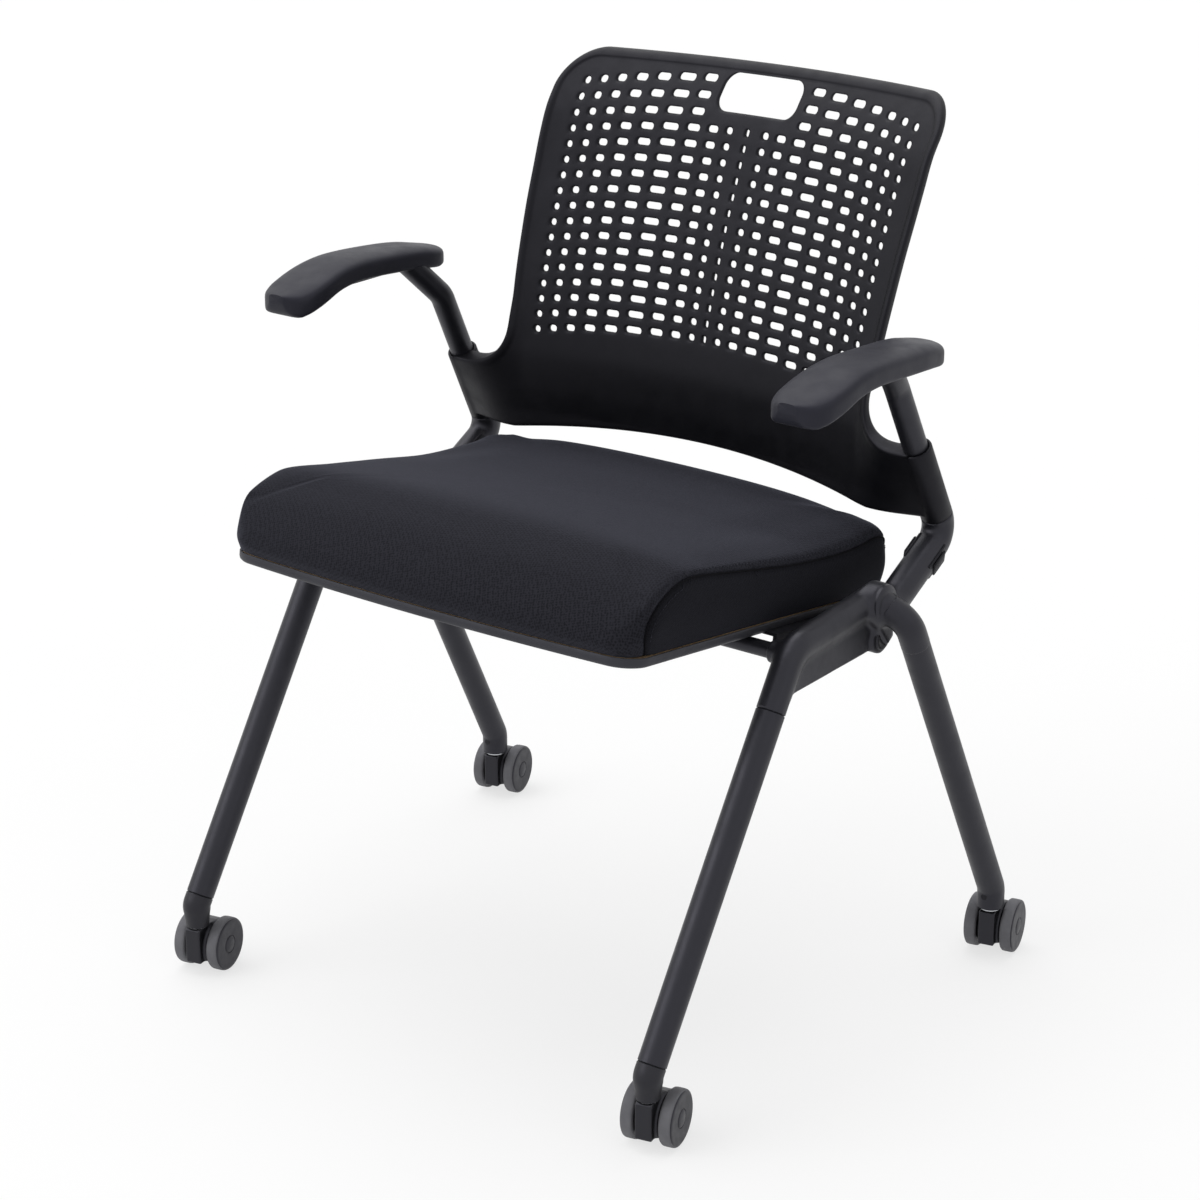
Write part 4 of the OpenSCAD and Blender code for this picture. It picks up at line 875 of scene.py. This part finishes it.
def back_sheet():
    """The moulded sheet as (x, depth, z): slots, hand-hold, plain border and rim."""
    parts = []
    for row in range(SLOT_ROWS):
        for k in range(-OUTER, OUTER + 1):
            if row >= SLOT_ROWS - FREE_ROWS and abs(k) < FREE_COLUMNS:
                continue
            x, z = slot_place(abs(k), row)
            b0, b1 = (-1, 1) if k == 0 else (k, k + 1) if k > 0 else (k - 1, k)
            border = cell_border(b0, b1, row - 0.5, row + 0.5)
            w = SLOT_W * SLOT_SHARES[abs(k)] / 2
            centre = np.array([math.copysign(x, k) if k else 0, z])
            r = min(w, SLOT_H / 2) * SLOT_ROUNDNESS
            parts.append(hole_cell(border, SQUARE, centre, (w, SLOT_H / 2), r))
    first = SLOT_ROWS - FREE_ROWS - 0.5
    border = cell_border(-FREE_COLUMNS, FREE_COLUMNS, first, SLOT_ROWS - 0.5)
    middle = np.array([0, SLOT_BOTTOM + (SLOT_ROWS - HANDHOLD_ROWS_DOWN) * SLOT_PITCH])
    low, high = border.min(0), border.max(0)
    square = np.clip((border - (low + high) / 2) / ((high - low) / 2), -1, 1)
    rings = [(grow * HANDHOLD_EDGE, depth) for grow, depth in HOLE_RINGS]
    square /= np.abs(square).max(1)[:, None]
    parts.append(hole_cell(border, square, middle, np.array(HANDHOLD) / 2, HANDHOLD_CORNER_R, rings))
    block = cell_border(-OUTER - 1, OUTER + 1, -0.5, SLOT_ROWS - 0.5)
    outline = full_outline()
    normals = loop_normals(outline)
    inner = outline + normals * RIM_START
    points, faces = plain_area(inner, block)
    parts.append((at_depth(points, 0.0), faces))
    parts.append((at_depth(points, SHELL_T), [f[::-1] for f in faces]))
    reach, height = np.abs(outline[:, 0]), outline[:, 1]
    raised = smooth((RISE_END_X - reach) / 14) * smooth((height - RISE_END_Z) / 50)
    across = np.clip((reach - half_width(CREST_Z)) / (SLEEVE_HIGH[0] - half_width(CREST_Z)), 0, 1)
    low = smooth((THIN_END_X - reach) / 20)
    ledge = (mix(RIM_T, 1.4 * SLEEVE_R, across ** 0.8) - SHELL_T) / (RIM_T - SHELL_T)
    thin = np.where(height < CUT_Z - 1, low, np.where(height < CREST_Z, ledge, 1))
    in_cut = (height >= CUT_Z - 1) & (height < CREST_Z)
    up = np.where(in_cut, np.clip(-normals[:, 1], 0, 1), 0)
    flush = reach > upright_at(height)[0] - 0.3
    rings = [at_depth(inner, 0.0)]
    for inset, depth, rise in RIM_RINGS:
        ring = at_depth(outline + normals * inset, 0.0)
        backward = np.where(depth > SHELL_T, SHELL_T + (depth - SHELL_T) * thin, depth)
        ring[:, 1] = np.where(flush & (depth < SLEEVE_OVERLAP), 0, backward) - RIM_RISE * rise * raised
        ring[:, 2] += LEDGE_TILT * backward * up
        rings.append(ring)
    rings.append(at_depth(inner, SHELL_T))
    parts.append(ring_strip(rings))
    return join(parts)


def sleeve(low, high):
    """Moulded sleeve round the upright, with rounded ends and a bore."""
    length = np.linalg.norm(high - low)
    r, b = SLEEVE_R, SLEEVE_BORE_R
    profile = [
        (length / 2, b), (1.0, b), (0.2, b + 0.6), (0, b + 1.2), (0, r - 1.2), (0.3, r - 0.4), (1.1, r),
        (length * 0.33, r), (length * 0.66, r),
        (length - 1.6, r), (length - 0.6, r - 0.3), (length, r - 1.0), (length, b + 1.2),
        (length - 0.3, b + 0.5), (length - 1.2, b), (length / 2, b),
    ]
    return lathe(profile, low, high - low, 72)


def back(material):
    points, faces = back_sheet()
    x, depth, z = points.T
    shaped = np.stack([x, surface(x, z, depth), z], 1)
    whole = join([(shaped, faces), twins(sleeve(SLEEVE_LOW, SLEEVE_HIGH))])
    piece("moulded_back", *whole, material, "frame", "shell_plastic", ["back_shell"], 50)


# Arm pads

def signed_power(v, e):
    return np.sign(v) * np.abs(v) ** e


PAD_SIDES = 64


def pad_ring(share):
    w = PAD_W / 2 * curve(share, PAD_WIDTH_SHARES)
    t = PAD_T * curve(share, PAD_DEPTH_SHARES)
    x = PAD_X - PAD_SPLAY * max(0, 1 - 2 * share) ** 2 - PAD_TIP_TURN * max(0, 2 * share - 1) ** 2
    drop = np.mean([curve(min(max(share + step, 0), 1), PAD_DROP_SHARES) for step in PAD_SMOOTHING])
    top = PAD_TOP - PAD_DROOP * drop - PAD_FALL * (0.5 - share)
    a = np.linspace(0, 2 * np.pi, PAD_SIDES, endpoint=False)
    e = np.where(np.sin(a) > 0, 0.62, 0.3)
    side = x + w * signed_power(np.cos(a), e)
    height = top - t / 2 + t / 2 * signed_power(np.sin(a), e)
    return np.stack([side, np.full(PAD_SIDES, PAD_REAR - PAD_L * share), height], 1)


def arm_pads(material):
    shares = [(1 - math.cos(math.pi * i / 64)) / 2 for i in range(65)]
    both("moulded_arm_pad", skin([pad_ring(s) for s in shares]), material, "pad_plastic", "arm_pad", 50)


# Seat

def to_seat(points):
    """From the seat's own frame to the row frame."""
    x, v, w = np.asarray(points, float).T
    c, s = math.cos(SEAT_TILT), math.sin(SEAT_TILT)
    return np.stack([x, PIVOT[1] + v * c + w * s, PIVOT[2] - v * s + w * c], 1)


def seat_loop(inset, corner, count):
    """Closed outline of the seat, drawn in by inset: x, v, and share of the length."""
    w = CUSHION_W / 2 - inset
    f, b = -CUSHION_FRONT + inset, CUSHION_REAR - inset
    r = max(SEAT_CORNER_R - inset, 2 * PAN_INSET)
    loop = []
    for cx, cv, start, end in (
        (w - r, f + r, -90, [w, b - r]), (w - r, b - r, 0, [r - w, b]),
        (r - w, b - r, 90, [-w, f + r]), (r - w, f + r, 180, [w - r, f]),
    ):
        arc = [np.array([cx + r * math.cos(a), cv + r * math.sin(a)])
               for a in np.radians(np.linspace(start, start + 90, corner + 1))]
        loop += arc
        loop += [mix(arc[-1], np.array(end), i / count) for i in range(1, count)]
    p = np.array(loop)
    along = (p[:, 1] + CUSHION_FRONT) / CUSHION_L
    side = 1 - (p[:, 0] / (CUSHION_W / 2)) ** 2
    end = 1 - np.minimum(1, 4 * np.minimum(along, 1 - along))
    bulge = np.where(along < 0.5, SEAT_FRONT_BULGE, -SEAT_REAR_BULGE)
    x = p[:, 0] - np.sign(p[:, 0]) * SEAT_SIDE_DRAW * np.maximum(0, 1 - (2 * along - 1) ** 2)
    return np.stack([x, p[:, 1] + end * bulge * (1 - side), along], 1)


def cushion_top(p):
    rise = CUSHION_CROWN * (1 - (p[:, 0] / (CUSHION_W / 2)) ** 2) * (1 - (2 * p[:, 2] - 1) ** 4)
    corner = REAR_CORNER_FALL * (p[:, 0] / (CUSHION_W / 2)) ** 4 * smooth((p[:, 2] - 0.74) / 0.2)
    side = smooth((np.abs(p[:, 0]) / (CUSHION_W / 2) - 0.62) / 0.2)
    room = FLIP_ROOM * side * np.exp(-(((p[:, 2] - FLIP_ROOM_AT) / FLIP_ROOM_SPREAD) ** 2))
    return CUSHION_BASE + CUSHION_H * curve(p[:, 2], SEAM_SHARES) + rise - corner - room


FILL_RISE = 2.4
REAR_CORNER_FALL = 7.0
# How much lower the sides lie where the wings of the back stand over them with the seat up
FLIP_ROOM = 3.6
FLIP_ROOM_AT = 0.66
FLIP_ROOM_SPREAD = 0.15
EDGE = CUSHION_H / 6
# Rings of the cushion from its base up and over to the middle: inset, share of the height, drop
CUSHION_RINGS = (
    (EDGE, 0, 0), (PAN_INSET + 1.5, 0, 0), (4.2, 0.06, 0), (2.6, 0.18, 0), (1.1, 0.3, 0), (0.1, 0.44, 0),
    (0.3, 0.56, 0), (1.2, 0.72, 0), (2.2, 0.84, 0), (3.4, 0.93, 0), (5.0, 1, 2.2), (7.5, 1, 1.2),
    (11, 1, 0.6), (16, 1, 0.25), (22, 1, 0), (30, 1, 0), (40, 1, 0), (52, 1, 0), (66, 1, 0), (82, 1, 0),
    (100, 1, 0), (120, 1, 0), (142, 1, 0), (164, 1, 0), (184, 1, 0),
)


def cushion_rings():
    rings = []
    for inset, share, drop in CUSHION_RINGS:
        p = seat_loop(inset, 8, 26)
        height = mix(CUSHION_BASE, cushion_top(p) + FILL_RISE - drop, share)
        rings.append(np.stack([p[:, 0], p[:, 1], height], 1))
    return rings


SEAM_INNER = 192.0
SEAM_REACH = 225.0
SEAM_STEP = 4.0
SEAM_SPAN = 9
CORD_R = 0.8
CORD_LIFT = -0.9


def side_seam():
    """Course of the seam between the top panel and a side panel, as (v, w) points."""
    top = []
    for v in np.linspace(-242, 50, 70):
        crest = CUSHION_BASE + CUSHION_H * float(curve((v + CUSHION_FRONT) / CUSHION_L, SEAM_SHARES))
        top.append((v, crest - 5 - 8 * float(smooth((v + 236) / 220))))
    front = [
        (-283, 23), (-288, 30), (-291, 38), (-290.5, 46), (-286, 55), (-278.5, 63), (-267, 70), (-254, 76),
    ]
    rear = [(62, 73.5), (71, 67), (77, 56), (79, 44), (78.5, 32), (77, 23)]
    path = resample(np.array(front + top + rear, float), SEAM_STEP)
    inner = np.mean([path[i:len(path) - SEAM_SPAN + 1 + i] for i in range(SEAM_SPAN)], axis=0)
    return np.concatenate([path[:1], inner, path[-1:]])


def dress_sides(obj, line, cloth):
    """Gives the side panels, the faces below the seam, their own cloth: a finer weave, in a darker colour
    that is painted shade.
    """
    obj.data.materials.append(cloth)
    loop = np.concatenate([line[:, 1:], [[line[-1, 1] - 2, 0], [line[0, 1], 0]]])
    centres = np.array([list(face.center) for face in obj.data.polygons]) / MM
    turned = centres - PIVOT * [0, 1, 1]
    c, s = math.cos(SEAT_TILT), math.sin(SEAT_TILT)
    v, w = turned[:, 1] * c - turned[:, 2] * s, turned[:, 1] * s + turned[:, 2] * c
    side = inside(np.stack([v, w], 1), loop) & (np.abs(centres[:, 0]) > SEAM_INNER)
    obj.data.polygons.foreach_set("material_index", side.astype(np.int32))


def cushion(material, side_cloth_shaded, seam_shade_cloth, thread):
    points, faces = skin(cushion_rings())
    seat = to_seat(points)
    obj = piece("seat_cover", seat, faces, material, "seat", "seat_fabric", ["seat_cushion"], 180)
    obj.parent = None
    obj.matrix_world = Matrix.Identity(4)
    course = side_seam()
    seam_points = [np.insert(course, 0, side * SEAM_REACH, 1) for side in (-1, 1)]
    puff(obj, seam_points)
    divide(obj, 2)
    seams = [on_surface(obj, line, CORD_LIFT) for line in seam_points]
    sink_seams(obj, seams)
    dress_sides(obj, seam_points[1], side_cloth_shaded)
    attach(obj, "seat")
    # Near-black cords sunk along the seams: painted shade in the seam creases
    cords = join([skin(swept(line, CORD_R, 10)) for line in seams])
    cord = piece("seat_seam_shade_cord", *cords, seam_shade_cloth, "seat", "seat_fabric", [], 60)
    stitches(obj, seam_points, thread)


def divide(obj, levels):
    bpy.context.view_layer.objects.active = obj
    modifier = obj.modifiers.new("smooth", "SUBSURF")
    modifier.levels = modifier.render_levels = levels
    with bpy.context.temp_override(object=obj, active_object=obj):
        bpy.ops.object.modifier_apply(modifier=modifier.name)


def read_points(obj):
    co = np.zeros(len(obj.data.vertices) * 3)
    obj.data.vertices.foreach_get("co", co)
    return co.reshape(-1, 3)


def write_points(obj, co):
    obj.data.vertices.foreach_set("co", co.astype(np.float32).ravel())
    obj.data.update()


def seam_distance(points, seams, reach):
    """Distance from points in metres to the seams in millimetres, where they lie within reach."""
    best = np.full(len(points), 1e9)
    for path in seams:
        for a, b in zip(path, path[1:]):
            near = np.abs(points / MM - a).max(1) < reach
            if near.any():
                best[near] = np.minimum(best[near], to_segment(points[near] / MM, a, b))
    return best


PUFF_CAP = 3.5
CLOTH_STEPS = 20
HELD_NEAR = 3.0
HELD_FADE = 9.0
# How far a seam draws the cover in, and how wide: the crease itself, and the soft hollow round it
CREASE = (1.3, 2.4)
HOLLOW = (0.9, 9.0)


def puff(obj, lines):
    """Fills the cover by cloth simulation: the base and the seams hold, the panels swell a little."""
    rest = read_points(obj)
    base = rest @ [0, math.sin(SEAT_TILT), math.cos(SEAT_TILT)]
    floor = base.min()
    far = seam_distance(rest, [to_seat(line) for line in lines], 60)
    hold = np.clip(1 - (far - HELD_NEAR) / HELD_FADE, 0, 1)
    hold = np.maximum(hold, np.where(base < floor + 3 * MM, 1.0, 0.0))
    group = obj.vertex_groups.new(name="held")
    for i, w in enumerate(hold):
        if w > 0.01:
            group.add([i], float(w), "REPLACE")
    cloth = obj.modifiers.new("cover", "CLOTH")
    settings = cloth.settings
    settings.quality = 6
    settings.mass = 0.3
    settings.tension_stiffness = settings.compression_stiffness = 40
    settings.shear_stiffness = 20
    settings.bending_stiffness = 6
    settings.vertex_group_mass = "held"
    settings.pin_stiffness = 1.0
    settings.use_pressure = True
    settings.uniform_pressure_force = 3.0
    settings.effector_weights.gravity = 0
    cloth.collision_settings.use_self_collision = False
    cloth.collision_settings.use_collision = False
    cloth.point_cache.frame_start, cloth.point_cache.frame_end = 1, CLOTH_STEPS
    scene = bpy.context.scene
    for step in range(1, CLOTH_STEPS + 1):
        scene.frame_set(step)
    moved = np.zeros(len(rest) * 3)
    evaluated = obj.evaluated_get(bpy.context.evaluated_depsgraph_get())
    evaluated.data.vertices.foreach_get("co", moved)
    obj.modifiers.remove(cloth)
    scene.frame_set(1)
    shift = moved.reshape(-1, 3) - rest
    size = np.linalg.norm(shift, axis=1)
    cap = PUFF_CAP * MM
    shift *= (cap * np.tanh(size / cap) / np.maximum(size, 1e-9))[:, None]
    write_points(obj, rest + shift)
    obj.vertex_groups.clear()


def tree_of(obj):
    return BVHTree.FromObject(obj, bpy.context.evaluated_depsgraph_get())


def on_surface(obj, line, lift=0.0):
    """Seam points brought onto the cover from the side, in millimetres of the row frame."""
    tree = tree_of(obj)
    out = []
    for p in line:
        start = to_seat([p * [1.4, 1, 1]])[0] * MM
        hit = tree.ray_cast(Vector(start), Vector((-math.copysign(1, p[0]), 0, 0)))
        if hit[0] is None or abs(hit[0][0]) < SEAM_INNER * MM:
            hit = tree.find_nearest(Vector(to_seat([p])[0] * MM))
        out.append(np.array(hit[0]) / MM + np.array(hit[1]) * lift)
    return np.array(out)


def sink_seams(obj, seams):
    """Draws the cover in along each seam."""
    co = read_points(obj)
    best = seam_distance(co, seams, 30)
    normals = np.zeros(len(co) * 3)
    obj.data.vertices.foreach_get("normal", normals)
    depth = sum(deep * np.exp(-((best / wide) ** 2)) for deep, wide in (CREASE, HOLLOW))
    write_points(obj, co - normals.reshape(-1, 3) * depth[:, None] * MM)


STITCH_L = 3.2
STITCH_GAP = 1.5
STITCH_OFFSET = 6.0
SEAT_MIDDLE = to_seat([[0, -100, 90]])[0]
# A stitch along its length: share, rise over the cloth, and radius
STITCH_SHAPE = (
    (0, -0.2, 0.15), (0.08, 0.15, 0.32), (0.3, 0.3, 0.36), (0.7, 0.3, 0.36), (0.92, 0.15, 0.32),
    (1, -0.2, 0.15),
)


def stitches(obj, lines, thread):
    """A row of topstitching on the top panel beside each seam, each stitch a short rounded thread."""
    tree = tree_of(obj)
    parts = []
    for line in lines:
        seam = on_surface(obj, line)
        tangent = np.gradient(seam, axis=0)
        out = []
        for p, t in zip(seam, tangent):
            hit = tree.find_nearest(Vector(p * MM))
            n = np.array(hit[1])
            side = unit(np.cross(unit(t), n))
            if np.dot(side, SEAT_MIDDLE - p) < 0:
                side = -side
            spot = tree.find_nearest(Vector((p + side * STITCH_OFFSET + n) * MM))
            out.append(np.array(spot[0]) / MM + np.array(spot[1]) * 0.15)
        row = resample(np.array(out), STITCH_L + STITCH_GAP)
        for a, b in zip(row, row[1:]):
            d = unit(b - a)
            end = a + d * STITCH_L
            n = np.array(tree.find_nearest(Vector((a + end) / 2 * MM))[1])
            path = [mix(a, end, share) + n * rise for share, rise, _ in STITCH_SHAPE]
            parts.append(skin(swept(path, [r for _, _, r in STITCH_SHAPE], 6)))
    made = piece("seat_stitching", *join(parts), thread, "seat", "seat_fabric", [], 60)


def resample(path, step):
    """Points at even distances along a path."""
    d = np.concatenate([[0], np.cumsum(np.linalg.norm(np.diff(path, axis=0), axis=1))])
    at = np.arange(0, d[-1], step)
    return np.stack([np.interp(at, d, path[:, i]) for i in range(path.shape[1])], 1)


def seat_base(material):
    """Moulded pan with a rolled edge, a rounded rim and a shallow tray inside."""
    top, rim = PAN_RISE + PAN_H, PAN_RISE - PAN_RIM
    profile = [
        (9, top - 4.2), (7.0, top - 4.2), (6.4, top - 3.6), (6.2, top - 0.5), (5.6, top), (4.5, top),
        (4.0, top - 0.6), (4.0, rim + 4.2), (4.6, rim + 2.2), (6.2, rim + 0.8), (9, rim),
        (14, rim), (16, rim + 0.8), (20, PAN_RISE - 0.6), (22, PAN_RISE), (40, PAN_RISE),
        (80, PAN_RISE), (130, PAN_RISE), (180, PAN_RISE),
    ]
    rings = []
    for inset, w in profile:
        p = seat_loop(inset, 14, 30)
        rings.append(to_seat(np.stack([p[:, 0], p[:, 1], np.full(len(p), w)], 1)))
    piece("moulded_pan", *skin(rings), material, "seat", "pan_plastic", ["seat_pan"], 50)


# Casters

CORNERS = {
    "front_left": (FRONT_STEM, 1), "front_right": (mirrored([FRONT_STEM])[0], -1),
    "rear_left": (REAR_STEM, 1), "rear_right": (mirrored([REAR_STEM])[0], -1),
}


def caster_axes():
    c, s = math.cos(CASTER_TURN), math.sin(CASTER_TURN)
    return np.array([c, s, 0.0]), np.array([-s, c, 0.0])


def at_caster(stem, points):
    """From a caster's own frame, +X along the axle and +Y towards the wheels, to the row frame."""
    ax, ay = caster_axes()
    x, y, z = np.asarray(points, float).T
    return np.array([stem[0], stem[1], 0.0]) + np.outer(x, ax) + np.outer(y, ay) + np.outer(z, [0, 0, 1])


HOOD_TOP = 47.6
HOOD_FOOT = 13.1
FENDER_HALF_W = 10.8
FENDER_R = 22.2
BLOCK_HALF_W = 7.6
HOOD_BOX = (-13.0, -14.0, 0.0), (13.0, 38.0, 50.0)
HOOD_STEP = 0.8


def housing_field(p):
    """Flat-fronted block that takes the stem, with a fender over and behind the wheels' hubs."""
    axle = np.array([0, TRAIL, WHEEL_R])
    fender = field_rod(p, axle - [FENDER_HALF_W, 0, 0], axle + [FENDER_HALF_W, 0, 0], FENDER_R, 1.5)
    block = field_plate(p, np.array([
        [-10.4, 14.0], [-10.4, 46.0], [-8.0, HOOD_TOP], [TRAIL, HOOD_TOP], [TRAIL, HOOD_FOOT],
        [-9.0, HOOD_FOOT],
    ]), 0, BLOCK_HALF_W, 1.2)
    body = blended(fender, block, 3)
    return np.maximum(np.maximum(body, p[:, 2] - HOOD_TOP), HOOD_FOOT - p[:, 2])


# Turned shapes of a wheel and its tyre: distance from the wheel's inner face, radius
WHEEL_PROFILE = (
    (0.6, 3.2), (0.0, 4.5), (0.0, 19.5), (0.3, 20.95), (10.2, 20.95), (10.6, 21.6), (10.7, 23.0),
    (11.0, 23.5), (11.5, 23.3), (11.9, 22.4), (12.0, 20.5), (11.8, 12.0), (11.7, 8.7), (11.1, 8.3),
    (11.1, 7.9), (11.8, 7.5), (12.1, 6.8), (12.1, 0.0),
)
TYRE_PROFILE = (
    (0.2, 21.0), (0.0, 21.6), (0.0, 22.6), (0.5, 24.0), (1.5, 24.8), (3.0, 25.0), (8.5, 25.0), (10.0, 24.8),
    (10.8, 24.4), (11.0, 23.8), (10.8, 22.8), (10.4, 21.4), (10.0, 21.0), (0.2, 21.0),
)


def casters(housing, disc, tread):
    hood_points, hood_faces = surface_nets(housing_field, *HOOD_BOX, HOOD_STEP)
    inner = HOUSING_W / 2 + WHEEL_GAP
    for corner, (stem, mirror) in CORNERS.items():
        piece(f"caster_hood_{corner}", at_caster(stem, hood_points), hood_faces, housing,
              f"caster_{corner}", "caster_housing", [f"caster_housing_{corner}"], 60)
        for part, way in (("outer", mirror), ("inner", -mirror)):
            body = f"wheel_{corner}_{part}"
            origin, direction = [way * inner, TRAIL, WHEEL_R], [way, 0, 0]
            for name, profile, material, slot in (
                ("wheel", WHEEL_PROFILE, disc, "caster_disc"),
                ("tyre", TYRE_PROFILE, tread, "caster_tread"),
            ):
                points, faces = lathe(profile, origin, direction, 72, (0, 1, 0))
                points = at_caster(stem, points)
                replaced = [f"{name}_{corner}_{part}"]
                piece(f"{name}_detail_{corner}_{part}", points, faces, material, body, slot, replaced, 50)


# Plain nodes keep their shape and get the material of their slot

def dress_nodes(materials):
    slots = {s["node"]: s["material_slot"] for s in frame["record"]["subparts"]}
    for name, node in frame["nodes"].items():
        node.data.materials.clear()
        node.data.materials.append(materials[slots[name]])


# Room, lights and camera

def white_room():
    """Pale floor and world, white to the camera, with soft light on the chair."""
    world = bpy.data.worlds.new("room")
    bpy.context.scene.world = world
    world.use_nodes = True
    nodes, links = world.node_tree.nodes, world.node_tree.links
    plain = nodes["Background"]
    plain.inputs["Color"].default_value = (1, 1, 1, 1)
    plain.inputs["Strength"].default_value = 0.4
    whiten(nodes, links, seen_directly(nodes, links), plain, "ShaderNodeBackground", "World Output")


def whiten(nodes, links, share, plain, kind, end):
    """Shows a share of full white of that kind instead of the plain shader."""
    white = nodes.new(kind)
    white.inputs["Color"].default_value = (1, 1, 1, 1)
    white.inputs["Strength"].default_value = 1.0
    choose = nodes.new("ShaderNodeMixShader")
    for i, socket in enumerate((share, plain.outputs[0], white.outputs[0])):
        links.new(socket, choose.inputs[i])
    links.new(choose.outputs[0], nodes[end].inputs["Surface"])


def seen_directly(nodes, links):
    """One where the camera, a mirror surface or a clear one looks at the background."""
    path = nodes.new("ShaderNodeLightPath")
    most = path.outputs["Is Camera Ray"]
    for name in ("Is Glossy Ray", "Is Transmission Ray"):
        node = nodes.new("ShaderNodeMath")
        node.operation = "MAXIMUM"
        links.new(most, node.inputs[0])
        links.new(path.outputs[name], node.inputs[1])
        most = node.outputs[0]
    return most


FLOOR_WHITE = 0.7


def floor():
    bpy.ops.mesh.primitive_plane_add(size=40, location=(0, 0, 0))
    plane = bpy.context.object
    plane.name = "floor"
    material = bpy.data.materials.new("floor_white")
    material.use_nodes = True
    nodes, links = material.node_tree.nodes, material.node_tree.links
    shader = nodes["Principled BSDF"]
    shader.inputs["Base Color"].default_value = (0.95, 0.95, 0.95, 1)
    shader.inputs["Roughness"].default_value = 0.9
    shader.inputs["Specular IOR Level"].default_value = 0.1
    speckle = noise(nodes, links, nodes.new("ShaderNodeTexCoord").outputs["Object"], 3, 2.0)
    tones = [(0.3, (0.945, 0.945, 0.945)), (0.7, (0.955, 0.955, 0.955))]
    links.new(ramp(nodes, links, speckle, tones), shader.inputs["Base Color"])
    share = nodes.new("ShaderNodeMath")
    share.operation = "MULTIPLY"
    share.inputs[1].default_value = FLOOR_WHITE
    links.new(seen_directly(nodes, links), share.inputs[0])
    whiten(nodes, links, share.outputs[0], shader, "ShaderNodeEmission", "Material Output")
    plane.data.materials.append(material)


# Wide soft lamps far away: direction that the light comes from, spread in degrees, strength
LAMPS = (
    ("top", (-0.3, 0.1, 1.0), 70, 1.7), ("key", (-0.8, -1.1, 0.9), 40, 0.75),
    ("side", (1.0, -0.1, 0.6), 40, 0.12),
)


def lights():
    for name, source, spread_angle, strength in LAMPS:
        data = bpy.data.lights.new(name, "SUN")
        data.angle = math.radians(spread_angle)
        data.energy = strength
        lamp = bpy.data.objects.new(name, data)
        lamp.location = Vector(source) * 3
        lamp.rotation_mode = "QUATERNION"
        lamp.rotation_quaternion = (-Vector(source)).to_track_quat("-Z", "Y")
        bpy.context.scene.collection.objects.link(lamp)


CAMERA_TARGET = Vector((0.0, 8.8, 345.7)) * MM
CAMERA_AZIMUTH = math.radians(37.72)
CAMERA_ELEVATION = math.radians(20.4)
CAMERA_DISTANCE = 2716.8 * MM
FOCAL_PX = 3014
IMAGE_PX = 1200
SENSOR = 36.0


def camera():
    data = bpy.data.cameras.new("view")
    data.sensor_width = SENSOR
    data.lens = FOCAL_PX * SENSOR / IMAGE_PX
    eye = bpy.data.objects.new("view", data)
    bpy.context.scene.collection.objects.link(eye)
    a, e = CAMERA_AZIMUTH, CAMERA_ELEVATION
    away = Vector((math.sin(a) * math.cos(e), -math.cos(a) * math.cos(e), math.sin(e)))
    eye.location = CAMERA_TARGET + away * CAMERA_DISTANCE
    eye.rotation_mode = "QUATERNION"
    eye.rotation_quaternion = (-away).to_track_quat("-Z", "Y")
    bpy.context.scene.camera = eye


def build():
    bpy.context.scene.view_settings.view_transform = "Standard"
    camera()
    white_room()
    floor()
    lights()
    materials = {name: grained(name, *values) for name, values in SURFACES.items()}
    materials["seat_fabric"] = woven_fabric("seat_fabric", (0.0108, 0.0108, 0.0138))
    materials["plywood"] = plywood()
    materials["zinc_steel"] = zinc_steel()
    thread = woven_fabric("seam_thread", (0.013, 0.0132, 0.017), 0.0008)
    # Side panels: the finer weave is real, and the much darker colour is painted shade on the cushion's
    # sides
    side_cloth_shaded = woven_fabric("side_fabric_shaded", (0.0048, 0.0048, 0.0062), 0.0013, 0.06)
    # Near-black cloth for the seam cords: painted shade of the seam creases
    seam_shade_cloth = woven_fabric("seam_shadow", (0.0015, 0.0015, 0.002), 0.001, 0.0)
    dress_nodes(materials)
    side_brackets(materials["powder_coat"])
    frame_tubes(materials["powder_coat"], materials["fitting_plastic"])
    end_caps(materials["fitting_plastic"])
    bumpers(materials["soft_rubber"])
    back(materials["shell_plastic"])
    arm_pads(materials["pad_plastic"])
    seat_base(materials["pan_plastic"])
    cushion(materials["seat_fabric"], side_cloth_shaded, seam_shade_cloth, thread)
    casters(materials["caster_housing"], materials["caster_disc"], materials["caster_tread"])


build()
